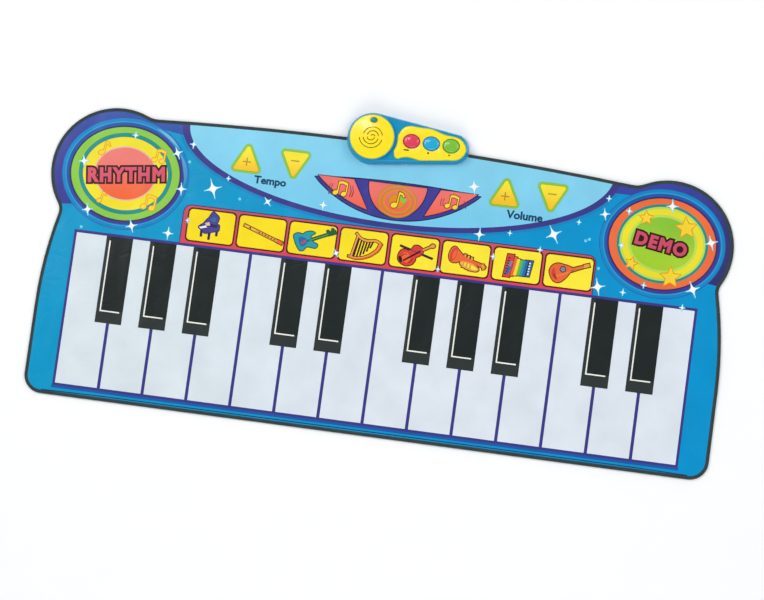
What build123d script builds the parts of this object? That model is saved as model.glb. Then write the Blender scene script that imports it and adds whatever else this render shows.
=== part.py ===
"""A floor keyboard: a padded vinyl mat with printed playing zones and a plastic sound module.

Millimetres, +Z up. The origin is the centre of the mat's underside, on the floor. The module
sits over the middle of the mat's far edge (+Y). The plan shapes below are drawn about the
centre of the key field and moved to the mat's frame by to_mat().
"""

from build123d import *
import os
from math import asin, degrees, hypot

# ---------------------------------------------------------------- driving dimensions

FIELD_Y = -152.5  # centre of the key field in the mat's frame

# Keys
KEY_PITCH = 116.2
KEY_LENGTH = 400.0
WHITE_KEYS = 14
DIVIDER = 7.6  # printed line left between two white keys
BLACK_AFTER = (1, 2, 3, 5, 6, 8, 9, 10, 12, 13)  # a black key stands on these boundaries
BLACK_WIDTH = 70.0
BLACK_LENGTH = 228.5
GAP = 0.4  # clearance round every zone that moves

# Mat outline
HALF_WIDTH = 897.0
SIDE_R = 1100.0  # the sides bend inwards on this radius from the field's centre line up
SIDE_END_Y = 290.0  # where the side arcs end, inside the lobes
BOTTOM_Y = -232.0
CORNER_R = 48.0
LOBE_R = 171.5
LEFT_LOBE = (-735.0, 369.0)
RIGHT_LOBE = (722.0, 358.0)
TOP_CROWN = (-129.0, 538.0)  # highest point of the far edge
TOP_R = 8450.0
TOP_ENDS = (-665.0, 640.0)
WAIST_FILLET = 34.0
DIP_FILLET = 60.0
BINDING_WIDTH = 9.0
BINDING_SKIN = 1.2

# Layers of the mat, heights from the floor
BASE_T = 0.8
FILM_T = 0.3
FOAM_TOP = 5.1
COVER_TOP = 5.6
BINDING_TOP = 6.3
ZONE_TRAVEL = 2.2
ZONE_BOTTOM = BASE_T + FILM_T + ZONE_TRAVEL + 0.1  # a pressed zone stops just above the film

# Control zones, about the key field's centre
INSTRUMENTS = ("piano", "flute", "guitar", "harp", "violin", "trumpet", "accordion", "mandolin")
BOX_SIZE = (122.0, 82.0)
BOX_CORNER = 10.0
BOX_PITCH = 134.5
FIRST_BOX = (-463.0, 258.0)
DISCS = {  # centre x and y, half width, half depth
    "rhythm_pad": (-708.0, 369.0, 144.5, 123.5),
    "demo_pad": (709.0, 362.0, 138.0, 118.0),
}
TRIANGLE_W = 73.0
TRIANGLE_H = 70.0
TRIANGLE_CORNER = 5.0
TRIANGLES = {  # centre x, centre y, +1 points away from the player
    "tempo_up_pad": (-393.0, 452.0, 1),
    "tempo_down_pad": (-267.0, 446.0, -1),
    "volume_up_pad": (290.0, 446.0, 1),
    "volume_down_pad": (411.0, 443.0, -1),
}
LENS_CENTRE_X = 9.0
LENS_TOP_Y = 429.0
LENS_ARC_R = 305.0
LENS_ARC_CENTRE_Y = 651.0
BOWL = (76.0, 85.0)  # half width and depth of the middle section

# Sound module, about the key field's centre
DISC = (-72.5, 542.0)
DISC_R = 68.0
TIP = (142.0, 540.0)
TIP_R = 40.0
DRAFT = 12.0
CASE_WALL = 2.5
FRONT_INSET = 6.0  # the lower case stands back this far where the mat passes under the rim
SPLIT_LOW = 5.0
SPLIT_HIGH = 5.75
SKIRT_TOP = 27.75
DRUM_TOP = 36.25
DRUM_R = 66.5
SKIRT_ROUND = 5.0
DRUM_ROUND = 3.0
GRILLE_R = 56.5
GRILLE_RIM = 3.0  # height of the grille at its rim
GRILLE_CROWN = 7.0  # height of the grille at its middle
GRILLE_WALL = 2.4
GRILLE_DOME_R = 400.0
HUMP_R = (17.0, 13.0)  # raised oval round the power button
HUMP_TOP = 44.0
SPIRAL_TURNS = 6  # half turns of the sound slot
SPIRAL_STEP = 5.0
SLOT_WIDTH = 2.0
PANEL_T = 2.0
BUTTON_X = (31.0, 83.0, 135.0)
BUTTON_Y = 543.5
BUTTON_R = (20.5, 17.0)
BUTTON_TOP = 35.0
BUTTON_TRAVEL = 1.5
FLANGE_T = 1.6
FLANGE_TOP = SKIRT_TOP - CASE_WALL - 0.3  # the flanges stop under the case's roof
POWER_AT = (-72.5, 585.2)
POWER_R = (9.5, 7.2)
TRAY_T = 2.0
POCKET = (27.0, 24.0)  # half sizes of the battery box inside
POCKET_WALL = 2.0
POCKET_TOP = 18.0
DOOR_GAP = 0.3
BOARD_BOTTOM = 13.0
BOARD_TOP = 14.6
CHIP_T = 1.6
PILLAR_R = 3.6
MEMBRANE_BOTTOM = BOARD_TOP + 0.1
MEMBRANE_T = 1.0
DOME_R = 9.0
DOME_TOP = FLANGE_TOP - FLANGE_T - BUTTON_TRAVEL - 0.85  # a pressed button stops short of its dome
SPEAKER_R = 28.0
MAGNET_R = 15.0
TONGUE_X = (-32.0, 6.0)  # strip of the cover clamped inside the case
POSTS_X = (-23.0, -3.0)  # posts through the tongue
POST_Y = 499.0
POST_R = 2.0
TAIL_X = (12.0, 56.0)  # the film's tail, beside the tongue
SCREWS_AT = ((-124.5, 543.0), (-42.5, 587.0), (-42.5, 499.0), (170.0, 540.0))
SCREW_R = 1.5
DOOR_SCREW = (-38.5, 542.0)
BATTERY_R = 7.2
BATTERY_L = 50.0
BATTERY_PITCH = 15.0


# ---------------------------------------------------------------- helpers

def to_mat(shape):
    """Move a plan or solid drawn about the key field's centre into the mat's frame."""
    return Pos(0, FIELD_Y, 0) * shape


def plate(face, low, high):
    """A plan raised from height low to height high."""
    return to_mat(extrude(Pos(0, 0, low) * face, amount=high - low))


def box_plan(x0, x1, y0, y1):
    """A rectangle between two corners."""
    return Pos((x0 + x1) / 2, (y0 + y1) / 2) * Rectangle(x1 - x0, y1 - y0)


def boundary_x(index):
    """Where one white key ends and the next begins."""
    return (index - WHITE_KEYS / 2) * KEY_PITCH


def save(name, shape):
    """Write one piece, or one group of like pieces, under its own name."""
    export_step(shape if isinstance(shape, Compound) else Compound(shape.solids()), f"parts/{name}.step")


# ---------------------------------------------------------------- plans

def mat_outline(inset=0.0):
    """The mat's edge: straight foot, sides drawn in to a waist, two round lobes, a crowned top.

    An inset keeps every arc concentric with the outer edge's.
    """
    side_x, foot_y = HALF_WIDTH - inset, BOTTOM_Y + inset
    bend = degrees(asin(SIDE_END_Y / SIDE_R))
    right = CenterArc((HALF_WIDTH - SIDE_R, 0), SIDE_R - inset, 0, bend)
    left = CenterArc((SIDE_R - HALF_WIDTH, 0), SIDE_R - inset, 180 - bend, bend)
    crown_x, crown_y = TOP_CROWN
    first, last = (90 - degrees(asin((x - crown_x) / TOP_R)) for x in reversed(TOP_ENDS))
    top = CenterArc((crown_x, crown_y - TOP_R), TOP_R - inset, first, last - first)
    edges = [
        Line((-side_x, foot_y), (side_x, foot_y)),
        Line((side_x, foot_y), right @ 0),
        right,
        Line(right @ 1, RIGHT_LOBE),
        Line(RIGHT_LOBE, top @ 0),
        top,
        Line(top @ 1, LEFT_LOBE),
        Line(LEFT_LOBE, left @ 0),
        left,
        Line(left @ 1, (-side_x, foot_y)),
    ]
    body = make_face(Wire(edges))
    for centre in (LEFT_LOBE, RIGHT_LOBE):
        body += Pos(*centre) * Circle(LOBE_R - inset)
    feet = [v for v in body.vertices() if v.Y < foot_y + 1]
    body = fillet(feet, CORNER_R - inset)
    waists = [v for v in body.vertices() if 100 < v.Y < SIDE_END_Y]
    body = fillet(waists, WAIST_FILLET + inset)
    dips = [v for v in body.vertices() if v.Y > 450 and 560 < abs(v.X) < 700]
    return fillet(dips, DIP_FILLET + inset)


def white_plan(index, inset):
    """One white key between its dividers, with the corners that the black keys take."""
    first, last = index == 0, index == WHITE_KEYS - 1
    left = boundary_x(index) + (0 if first else DIVIDER / 2) + inset
    right = boundary_x(index + 1) - (0 if last else DIVIDER / 2) - inset
    plan = box_plan(left, right, -KEY_LENGTH / 2 + inset, KEY_LENGTH / 2 - inset)
    for side in (index, index + 1):
        if side in BLACK_AFTER:
            plan -= black_plan(side, GAP)
    return plan


def black_plan(side, grow):
    """One black key, standing on a boundary and running to the far edge of the field."""
    top = KEY_LENGTH / 2
    x = boundary_x(side)
    half = BLACK_WIDTH / 2 + grow
    return box_plan(x - half, x + half, top - BLACK_LENGTH - grow, top - GAP if grow == 0 else top)


def key_window():
    """The opening under the keys: the field less the dividers that stay."""
    half = WHITE_KEYS / 2 * KEY_PITCH
    window = box_plan(-half, half, -KEY_LENGTH / 2, KEY_LENGTH / 2)
    for side in range(1, WHITE_KEYS):
        x = boundary_x(side)
        top = KEY_LENGTH / 2 - (BLACK_LENGTH + GAP if side in BLACK_AFTER else 0)
        window -= box_plan(x - DIVIDER / 2, x + DIVIDER / 2, -KEY_LENGTH / 2, top)
    return window


def triangle_plan(x, y, way, grow=0.0):
    """A pad with three soft corners, pointing away from the player (+1) or towards it (-1).

    Growing it by a margin is the same as scaling it about the centre of its inner circle.
    """
    half, height = TRIANGLE_W / 2, TRIANGLE_H
    inner_r = half * height / (half + hypot(half, height))
    scale = 1 + grow / inner_r
    centre_y = y + way * (inner_r - height / 2)
    low, high = centre_y - way * inner_r * scale, centre_y + way * (height - inner_r) * scale
    plan = make_face(Polyline((x - half * scale, low), (x + half * scale, low), (x, high), close=True))
    return fillet(plan.vertices(), TRIANGLE_CORNER + grow)


def lens_sections(grow=0.0):
    """The three pads of the middle lens: two leaf-shaped ends and a bowl between them."""
    under_arc = Pos(LENS_CENTRE_X, LENS_ARC_CENTRE_Y) * Circle(LENS_ARC_R + grow)
    top = LENS_TOP_Y + grow
    sections = {}
    for name, way, top_x, low_x in (("beat_pad", -1, -107, -57), ("melody_pad", 1, 123, 83)):
        inner_top, inner_low = top_x - way * grow, low_x - way * grow
        side = Polyline(
            (inner_top, top), (inner_low, 345), (inner_low, 320), (way * 230, 320), (way * 230, top),
            close=True,
        )
        sections[name] = make_face(side) & under_arc
    bowl = Pos(LENS_CENTRE_X + 1, LENS_TOP_Y) * Ellipse(BOWL[0] + grow, BOWL[1] + grow)
    sections["mode_pad"] = bowl & box_plan(-100, 120, 300, top)
    return sections


def pad_plans(grow=0.0):
    """The plan of every printed control, each grown by the same margin."""
    plans = {}
    for place, instrument in enumerate(INSTRUMENTS):
        centre = (FIRST_BOX[0] + place * BOX_PITCH, FIRST_BOX[1])
        width, depth = BOX_SIZE
        box = RectangleRounded(width + 2 * grow, depth + 2 * grow, BOX_CORNER + grow)
        plans[f"{instrument}_pad"] = Pos(*centre) * box
    for name, (x, y, way) in TRIANGLES.items():
        plans[name] = triangle_plan(x, y, way, grow)
    plans.update(lens_sections(grow))
    for name, (x, y, half_x, half_y) in DISCS.items():
        plans[name] = Pos(x, y) * Ellipse(half_x + grow, half_y + grow)
    return plans


def module_plan(shrink=0.0):
    """The module's plan: a round head and a smaller round tip under one tight outline."""
    head = Pos(*DISC) * Circle(DISC_R - shrink)
    tip = Pos(*TIP) * Circle(TIP_R - shrink)
    return make_face(make_hull(head.edges() + tip.edges()))


def oval(centre, radii, grow=0.0):
    """An oval plan about a centre."""
    return Pos(*centre) * Ellipse(radii[0] + grow, radii[1] + grow)


# ---------------------------------------------------------------- playing zones

windows = key_window()
for plan in pad_plans(GAP).values():
    windows += plan

zones = pad_plans()
for index in range(WHITE_KEYS):
    zones[f"white_key_{index + 1:02d}"] = white_plan(index, GAP)
for number, side in enumerate(BLACK_AFTER, 1):
    zones[f"black_key_{number:02d}"] = black_plan(side, 0)

# ---------------------------------------------------------------- mat layers

outline = mat_outline()
body_plan = mat_outline(BINDING_SKIN + 0.2)
inner_plan = mat_outline(BINDING_WIDTH + 0.5)
behind_mat = module_plan(0.3) - mat_outline(-1.0)
lower_plan = module_plan(FRONT_INSET) + behind_mat
notch = module_plan(FRONT_INSET - 0.8) + (module_plan(-0.5) - body_plan)
tongue = box_plan(*TONGUE_X, 474, 507)

base_sheet = plate(inner_plan - notch, 0, BASE_T) + plate(body_plan - notch, BASE_T / 2, BASE_T)
save("base_sheet", base_sheet)

film_plan = mat_outline(24) - module_plan(-12)
film = plate(film_plan, BASE_T, BASE_T + FILM_T)
film_mid = BASE_T + FILM_T / 2
tail_line = Polyline((450, film_mid), (468, film_mid), (482, 4.8), (497, 4.8), (514, 12.2), (522, 12.2))
tail = extrude(Plane.YZ.offset(TAIL_X[0]) * trace(tail_line, FILM_T), amount=TAIL_X[1] - TAIL_X[0])
save("switch_film", film + to_mat(tail))

foam_plan = body_plan - notch - windows - box_plan(TAIL_X[0] - 4, TAIL_X[1] + 4, 460, 500)
save("foam_spacer", plate(foam_plan, BASE_T + FILM_T, FOAM_TOP))

cover_plan = body_plan - notch - windows + tongue
for x in POSTS_X:
    cover_plan -= Pos(x, POST_Y) * Circle(POST_R + 0.2)
save("cover_sheet", plate(cover_plan, FOAM_TOP, COVER_TOP))

ring = outline - mat_outline(BINDING_WIDTH) - module_plan(-0.6)
binding = plate(ring, 0.05, BINDING_TOP)
channel = mat_outline(BINDING_SKIN)
binding -= plate(channel, 0.38, COVER_TOP + 0.1)
save("edge_binding", binding)

for name, plan in zones.items():
    save(name, plate(plan, ZONE_BOTTOM, COVER_TOP))

# ---------------------------------------------------------------- sound module

# Upper case: a drafted skirt, a taller drum at the head, hollow inside, open below.
def drafted(plan, low, high):
    """A plan raised with its sides leaning inwards."""
    return to_mat(extrude(Pos(0, 0, low) * plan, amount=high - low, taper=DRAFT))


def rounded_top(solid, radius):
    """A solid with its highest edges rounded."""
    return fillet(solid.faces().sort_by(Axis.Z)[-1].edges(), radius)


drum = Pos(*DISC) * Circle(DRUM_R)
shell = rounded_top(drafted(module_plan(), SPLIT_HIGH, SKIRT_TOP), SKIRT_ROUND)
shell += rounded_top(drafted(drum, SPLIT_HIGH, DRUM_TOP), DRUM_ROUND)
hollow = drafted(module_plan(CASE_WALL), SPLIT_HIGH, SKIRT_TOP - CASE_WALL)
hollow += drafted(Pos(*DISC) * Circle(DRUM_R - CASE_WALL), SPLIT_HIGH, DRUM_TOP - CASE_WALL)
upper_case = shell - hollow
for x in BUTTON_X:
    upper_case -= plate(oval((x, BUTTON_Y), BUTTON_R, 0.6), SKIRT_TOP - 5, SKIRT_TOP + 1)
upper_case -= plate(Pos(*DISC) * Circle(27), DRUM_TOP - 5, DRUM_TOP + 1)
upper_case -= plate(oval(POWER_AT, POWER_R, 0.6), DRUM_TOP - 5, DRUM_TOP + 1)
for x, y in SCREWS_AT:
    roof = SKIRT_TOP if x > 0 else DRUM_TOP
    boss = plate(Pos(x, y) * (Circle(PILLAR_R) - Circle(SCREW_R + 0.02)), 7.5, roof - CASE_WALL - 1)
    boss += plate(Pos(x, y) * Circle(PILLAR_R), roof - CASE_WALL - 1, roof - CASE_WALL + 0.5)
    upper_case += boss
for x in POSTS_X:
    roof = DRUM_TOP if x < DISC[0] + DRUM_R * 0.7 else SKIRT_TOP
    upper_case += plate(Pos(x, POST_Y) * Circle(POST_R), SPLIT_LOW, roof - CASE_WALL + 0.5)
save("upper_case", upper_case)

# Control panel: a wavy-edged plate on the tail with three oval holes.
panel_edge = Spline(
    (6, 496), (30, 501), (55, 497), (90, 497), (130, 506), (168, 514), (175, 535), (158, 563),
    (115, 571), (85, 580), (48, 582), (6, 575), periodic=True,
)
panel_plan = make_face(panel_edge) & module_plan(7)
panel_plan -= Pos(*DISC) * Circle(DRUM_R + 1)
for x in BUTTON_X:
    panel_plan -= oval((x, BUTTON_Y), BUTTON_R, 0.6)
save("control_panel", rounded_top(plate(panel_plan, SKIRT_TOP, SKIRT_TOP + PANEL_T), 0.8))

# Speaker grille: a thin dome with a spiral slot of half circles and a hump round the power hole.
def dome_height(radius, crown):
    """Height of a shallow dome above the drum at a distance from its axis."""
    return crown - radius**2 / (2 * GRILLE_DOME_R)


def dome_shell():
    """The dome: a curve over a softened rim, flat at its crown, turned about the head's axis."""
    edge, inner, low_crown = GRILLE_R - 1.5, GRILLE_R - GRILLE_WALL, GRILLE_CROWN - GRILLE_WALL
    shoulder = dome_height(edge, GRILLE_CROWN)
    outside = Spline(*[(r, dome_height(r, GRILLE_CROWN)) for r in (3, edge * 0.35, edge * 0.7, edge)])
    corner = ThreePointArc(
        (edge, shoulder), (GRILLE_R - 0.4, shoulder - 0.5), (GRILLE_R, shoulder - 1.5))
    foot = Polyline(
        (GRILLE_R, shoulder - 1.5), (GRILLE_R, 0), (inner, 0), (inner, dome_height(inner, low_crown)))
    inside = Spline(*[(r, dome_height(r, low_crown)) for r in (inner, inner * 0.7, inner * 0.35, 3)])
    middle = Polyline(inside @ 1, (0, (inside @ 1).Y), (0, (outside @ 0).Y), outside @ 0)
    profile = make_face(Wire([outside, corner, *foot.edges(), inside, *middle.edges()]))
    return to_mat(Pos(*DISC, DRUM_TOP) * revolve(Plane.XZ * profile, Axis.Z))


def hump(shrink):
    """A low oval hill with sloping sides."""
    plan = Pos(0, 0, DRUM_TOP) * oval(POWER_AT, HUMP_R, -shrink)
    return to_mat(extrude(plan, amount=HUMP_TOP - shrink - DRUM_TOP, taper=35))


grille = dome_shell()
cap_zone = plate(Pos(*DISC) * Circle(GRILLE_R - 1), DRUM_TOP + GRILLE_RIM, HUMP_TOP + 1)
grille += rounded_top(hump(0), 1.2) & cap_zone
openings = oval(POWER_AT, POWER_R, 0.4)
for turn in range(SPIRAL_TURNS):
    radius = SPIRAL_STEP * (turn + 1)
    shift = SPIRAL_STEP / 2 * (-1) ** turn
    start = 12 if turn % 2 == 0 else 192
    openings += trace(CenterArc((DISC[0] + shift, DISC[1]), radius, start, 156), SLOT_WIDTH)
grille -= plate(openings, DRUM_TOP - 1, HUMP_TOP + 3)
save("speaker_grille", grille)

# Buttons: a domed cap over a flange that the case holds in.
def button(centre, radii, flange_z, top, crown):
    """A cap through the case with a wider flange under the roof."""
    cap = plate(oval(centre, radii), flange_z, top)
    cap = rounded_top(cap, crown)
    return cap + plate(oval(centre, radii, 2.0), flange_z - FLANGE_T, flange_z)


for name, x in zip(("red_button", "blue_button", "green_button"), BUTTON_X):
    save(name, button((x, BUTTON_Y), BUTTON_R, FLANGE_TOP, BUTTON_TOP, 4.5))
save("power_button", button(POWER_AT, POWER_R, DRUM_TOP - CASE_WALL - 0.3, HUMP_TOP + 1.6, 1.5))

# Lower case: a tray with a wall, screw pillars, board posts and a box for the batteries.
tray = plate(lower_plan, 0, TRAY_T)
inside = module_plan(FRONT_INSET + CASE_WALL) + (module_plan(CASE_WALL + 0.3) - mat_outline(-1.0 - CASE_WALL))
rim = lower_plan - inside
wall = plate(rim, TRAY_T, SPLIT_LOW) + plate(rim & behind_mat, SPLIT_LOW, SPLIT_HIGH - 0.1)
wall -= plate(box_plan(TAIL_X[0] - 4, TAIL_X[1] + 4, 470, 500), 4.4, SPLIT_HIGH)
def pocket_plan(margin):
    """The battery box's inside, widened by a margin."""
    wide, deep = POCKET[0] + margin, POCKET[1] + margin
    return box_plan(DISC[0] - wide, DISC[0] + wide, DISC[1] - deep, DISC[1] + deep)


pocket_in = pocket_plan(0)
lower_case = tray + wall + plate(pocket_plan(POCKET_WALL) - pocket_in, TRAY_T, POCKET_TOP)
lower_case -= plate(pocket_in, -1, 3)
for x, y in SCREWS_AT:
    lower_case += plate(Pos(x, y) * Circle(PILLAR_R), 1.0, 7.3)
    lower_case -= plate(Pos(x, y) * Circle(SCREW_R + 0.3), -1, 8)
    lower_case -= plate(Pos(x, y) * Circle(3.2), -1, 1.7)
lower_case += plate(Pos(*DOOR_SCREW) * Circle(4), 1.8, 9)
lower_case -= plate(Pos(*DOOR_SCREW) * Circle(1.27), 0, 9.5)
recess = Pos(*DOOR_SCREW) * Circle(4.9) + box_plan(DISC[0] + 26, DOOR_SCREW[0], DISC[1] - 4.9, DISC[1] + 4.9)
lower_case -= plate(recess, -1, 1.3)
board = box_plan(-6, 158, 518, 566)
for x in (-2, 154):
    for y in (522, 562):
        lower_case += plate(Pos(x, y) * Circle(2.4), 1.0, BOARD_BOTTOM)
save("lower_case", lower_case)

tab = Pos(*DOOR_SCREW) * Circle(4.5) + box_plan(DISC[0] + 26, DOOR_SCREW[0], DISC[1] - 4.5, DISC[1] + 4.5)
door = plate(pocket_plan(-DOOR_GAP), 0.2, 1.8)
door += plate(tab, 0.2, 1.2)
door -= plate(Pos(*DOOR_SCREW) * Circle(1.5), -1, 3)
door -= plate(Pos(*DOOR_SCREW) * Circle(2.8), -1, 0.7)
for line in range(5):
    y = DISC[1] - 8 + 4 * line
    door -= plate(box_plan(DISC[0] - 22, DISC[0] - 10, y - 0.7, y + 0.7), 0, 0.6)
save("battery_door", door)

# Everything sealed inside.
cells = []
for place in (-1, 0, 1):
    cell = Pos(DISC[0], DISC[1] + place * BATTERY_PITCH, 1.9 + BATTERY_R)
    body = Rot(0, 90, 0) * Cylinder(BATTERY_R, BATTERY_L - 1.5)
    nub = Rot(0, 90, 0) * Cylinder(2.6, BATTERY_L)
    cells.append(to_mat(cell * (body + nub)))
save("batteries", Compound(children=cells))

board_solid = plate(board, BOARD_BOTTOM, BOARD_TOP)
chips = [box_plan(20, 34, 520, 534), box_plan(100, 122, 552, 564), box_plan(60, 66, 554, 562)]
for chip in chips:
    board_solid += plate(chip, BOARD_TOP, BOARD_TOP + CHIP_T)
save("circuit_board", board_solid)

membrane_plan = board - box_plan(4, 140, 500, 536) - chips[1]
membrane = plate(membrane_plan, MEMBRANE_BOTTOM, MEMBRANE_BOTTOM + MEMBRANE_T)
membrane -= plate(oval((63, 558), (8, 6)), 10, 20)
for x in BUTTON_X:
    dome = extrude(Circle(DOME_R), amount=DOME_TOP - MEMBRANE_BOTTOM, taper=20)
    membrane += to_mat(Pos(x, BUTTON_Y, MEMBRANE_BOTTOM) * dome)
save("button_membrane", membrane)

speaker = plate(Pos(*DISC) * Circle(MAGNET_R), 19.0, 27.0)
speaker += to_mat(Pos(DISC[0], DISC[1], 27) * Cone(MAGNET_R, SPEAKER_R, 5, align=(Align.CENTER, Align.CENTER, Align.MIN)))
speaker += plate(Pos(*DISC) * Circle(SPEAKER_R + 1.5), 32.0, DRUM_TOP - CASE_WALL)
speaker -= to_mat(Pos(DISC[0], DISC[1], 29) * Cone(6, 25, 6, align=(Align.CENTER, Align.CENTER, Align.MIN)))
save("speaker", speaker)

screws = []
for x, y in SCREWS_AT:
    screw = plate(Pos(x, y) * Circle(2.9), 0.3, 1.6)
    screw += plate(Pos(x, y) * Circle(SCREW_R), 1.6, 20.0)
    screw -= plate(Pos(x, y) * Rectangle(3.4, 0.7), 0, 1.0)
    screw -= plate(Pos(x, y) * Rectangle(0.7, 3.4), 0, 1.0)
    screws.append(screw)
door_screw = plate(Pos(*DOOR_SCREW) * Circle(2.6), 0.25, 0.7) + plate(Pos(*DOOR_SCREW) * Circle(1.25), 0.7, 8.5)
screws.append(door_screw)
save("case_screws", Compound(children=screws))
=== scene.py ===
"""The looks of a floor keyboard: a padded, printed vinyl mat with a clip-on plastic sound module.

Plans are drawn in millimetres about the centre of the key field and moved into the frame's
metres when a mesh is made. Heights are millimetres above the floor.
"""

import logging
import math
from dataclasses import dataclass, field
from enum import Enum

import bpy
import numpy as np
from mathutils import Matrix, Vector
from mathutils.geometry import delaunay_2d_cdt


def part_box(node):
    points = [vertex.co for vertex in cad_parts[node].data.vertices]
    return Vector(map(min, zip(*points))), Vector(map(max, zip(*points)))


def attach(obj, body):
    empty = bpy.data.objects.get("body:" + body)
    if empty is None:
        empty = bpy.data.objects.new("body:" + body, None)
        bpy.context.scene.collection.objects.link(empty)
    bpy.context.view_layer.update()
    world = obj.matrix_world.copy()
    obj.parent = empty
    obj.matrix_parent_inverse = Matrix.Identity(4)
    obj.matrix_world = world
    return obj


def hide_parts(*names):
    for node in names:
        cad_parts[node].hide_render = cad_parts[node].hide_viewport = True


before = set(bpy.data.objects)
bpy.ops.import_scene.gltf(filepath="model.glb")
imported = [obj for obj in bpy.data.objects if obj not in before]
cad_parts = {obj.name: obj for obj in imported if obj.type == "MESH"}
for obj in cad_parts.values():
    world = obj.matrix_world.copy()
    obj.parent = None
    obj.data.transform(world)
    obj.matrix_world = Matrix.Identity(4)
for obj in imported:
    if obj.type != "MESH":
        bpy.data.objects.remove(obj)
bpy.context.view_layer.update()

MM = 0.001
Loop = np.ndarray  # the (n, 2) corners of a closed outline; counter-clockwise encloses, clockwise cuts out
Array = np.ndarray

log = logging.getLogger("floor_keyboard")


def height_of(node: str) -> float:
    """The highest point of a node, in millimetres."""
    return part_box(node)[1].z / MM


FIELD_CENTRE_Y = (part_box("white_key_01")[0].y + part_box("white_key_01")[1].y) / 2 / MM
COVER_TOP = height_of("cover_sheet")
FOAM_TOP = height_of("foam_spacer")
FILM_TOP = 1.1  # over the keys; its tail rises higher inside the module
BASE_TOP = height_of("base_sheet")
ZONE_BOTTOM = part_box("white_key_01")[0].z / MM


# ------------------------------------------------------------------ plan shapes

def ellipse(x: float, y: float, rx: float, ry: float, count: int = 72, turn: float = 0.0) -> Loop:
    """An oval: the angle t runs once round, at (rx cos t, ry sin t), then turned by some degrees."""
    t = np.linspace(0, math.tau, count, endpoint=False)
    return turned(np.stack([rx * np.cos(t), ry * np.sin(t)], 1), turn) + (x, y)


def arc(x: float, y: float, rx: float, ry: float, first: float, last: float, count: int = 48) -> Array:
    """Points along part of an oval, between two angles in degrees."""
    t = np.radians(np.linspace(first, last, count))
    return np.stack([x + rx * np.cos(t), y + ry * np.sin(t)], 1)


def turned(points: Array, degrees: float) -> Array:
    """Points turned about the plan's own origin."""
    c, s = math.cos(math.radians(degrees)), math.sin(math.radians(degrees))
    return points @ np.array([[c, s], [-s, c]])


def box(x0: float, x1: float, y0: float, y1: float) -> Loop:
    """A rectangle between two corners."""
    return np.array([(x0, y0), (x1, y0), (x1, y1), (x0, y1)], float)


def rounded(corners: Loop, radius: float, count: int = 6) -> Loop:
    """An outline whose corners are parabolas, each from a radius before the corner to a radius after it.

    Args:
        corners: The outline.
        radius: How far from a corner its curve begins.
        count: Points in each curve.

    Returns:
        The outline with its corners rounded.
    """
    before, after = np.roll(corners, 1, 0) - corners, np.roll(corners, -1, 0) - corners
    p = corners + radius * before / np.linalg.norm(before, axis=1)[:, None]
    q = corners + radius * after / np.linalg.norm(after, axis=1)[:, None]
    t = np.linspace(0, 1, count)[None, :, None]
    curve = (1 - t) ** 2 * p[:, None] + 2 * t * (1 - t) * corners[:, None] + t**2 * q[:, None]
    return curve.reshape(-1, 2)


def smooth(points: list[tuple[float, float]], count: int = 6) -> Loop:
    """A closed curve through a few points: each span is a Catmull-Rom cubic of its four nearest points.

    Args:
        points: The points that the curve passes through.
        count: Points in each span.

    Returns:
        The closed curve.
    """
    b = np.array(points, float)
    a, c, d = np.roll(b, 1, 0), np.roll(b, -1, 0), np.roll(b, -2, 0)
    a, b, c, d = (v[:, None] for v in (a, b, c, d))
    t = np.linspace(0, 1, count, endpoint=False)[None, :, None]
    cubic = 2 * b + (c - a) * t + (2 * a - 5 * b + 4 * c - d) * t**2 + (3 * b - a - 3 * c + d) * t**3
    return cubic.reshape(-1, 2) / 2


def stroke(points: list[tuple[float, float]] | Array, width: float, tip: float | None = None) -> Loop:
    """A line of some width: the path moved half a width to its right, then back on its left.

    Args:
        points: The path.
        width: Its width at the start.
        tip: Its width at the end, when it tapers.

    Returns:
        The outline, counter-clockwise.
    """
    p = np.array(points, float)
    way = np.gradient(p, axis=0)
    way /= np.linalg.norm(way, axis=1)[:, None]
    half = np.linspace(width, width if tip is None else tip, len(p))[:, None] / 2
    side = np.stack([way[:, 1], -way[:, 0]], 1) * half
    return np.concatenate([p + side, (p - side)[::-1]])


def grown(loop: Loop, margin: float) -> Loop:
    """An outline moved outwards: each corner slides along the mean of its two edges' normals.

    Args:
        loop: The outline.
        margin: How far it moves.

    Returns:
        The wider outline.
    """
    after = np.roll(loop, -1, 0) - loop
    length = np.linalg.norm(after, axis=1)
    loop, after = loop[length > 1e-6], after[length > 1e-6]
    after /= np.linalg.norm(after, axis=1)[:, None]
    normal = np.stack([after[:, 1], -after[:, 0]], 1)
    before = np.roll(normal, 1, 0)
    spread = np.maximum(1 + (normal * before).sum(1), 0.5)
    return loop + margin * (normal + before) / spread[:, None]


def sparkle(x: float, y: float, radius: float, turn: float = 0.0) -> Loop:
    """A four-pointed twinkle: a squashed astroid, (cos t)^5 across and (sin t)^5 along.

    Args:
        x: Its centre across.
        y: Its centre along.
        radius: Its reach.
        turn: Its slope in degrees.

    Returns:
        Its outline.
    """
    t = np.linspace(0, math.tau, 40, endpoint=False)
    c, s = np.cos(t), np.sin(t)
    shape = np.stack([np.sign(c) * np.abs(c) ** 5 * 0.85, np.sign(s) * np.abs(s) ** 5], 1)
    return turned(shape * radius, turn) + (x, y)


def star(x: float, y: float, radius: float, turn: float = 0.0) -> Loop:
    """A five-pointed star: ten corners whose radius alternates between whole and 45 per cent.

    Args:
        x: Its centre across.
        y: Its centre along.
        radius: Its reach.
        turn: Its slope in degrees.

    Returns:
        Its outline.
    """
    t = np.radians(90 + 36 * np.arange(10))
    r = radius * np.where(np.arange(10) % 2, 0.45, 1.0)
    return turned(np.stack([r * np.cos(t), r * np.sin(t)], 1), turn) + (x, y)


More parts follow.
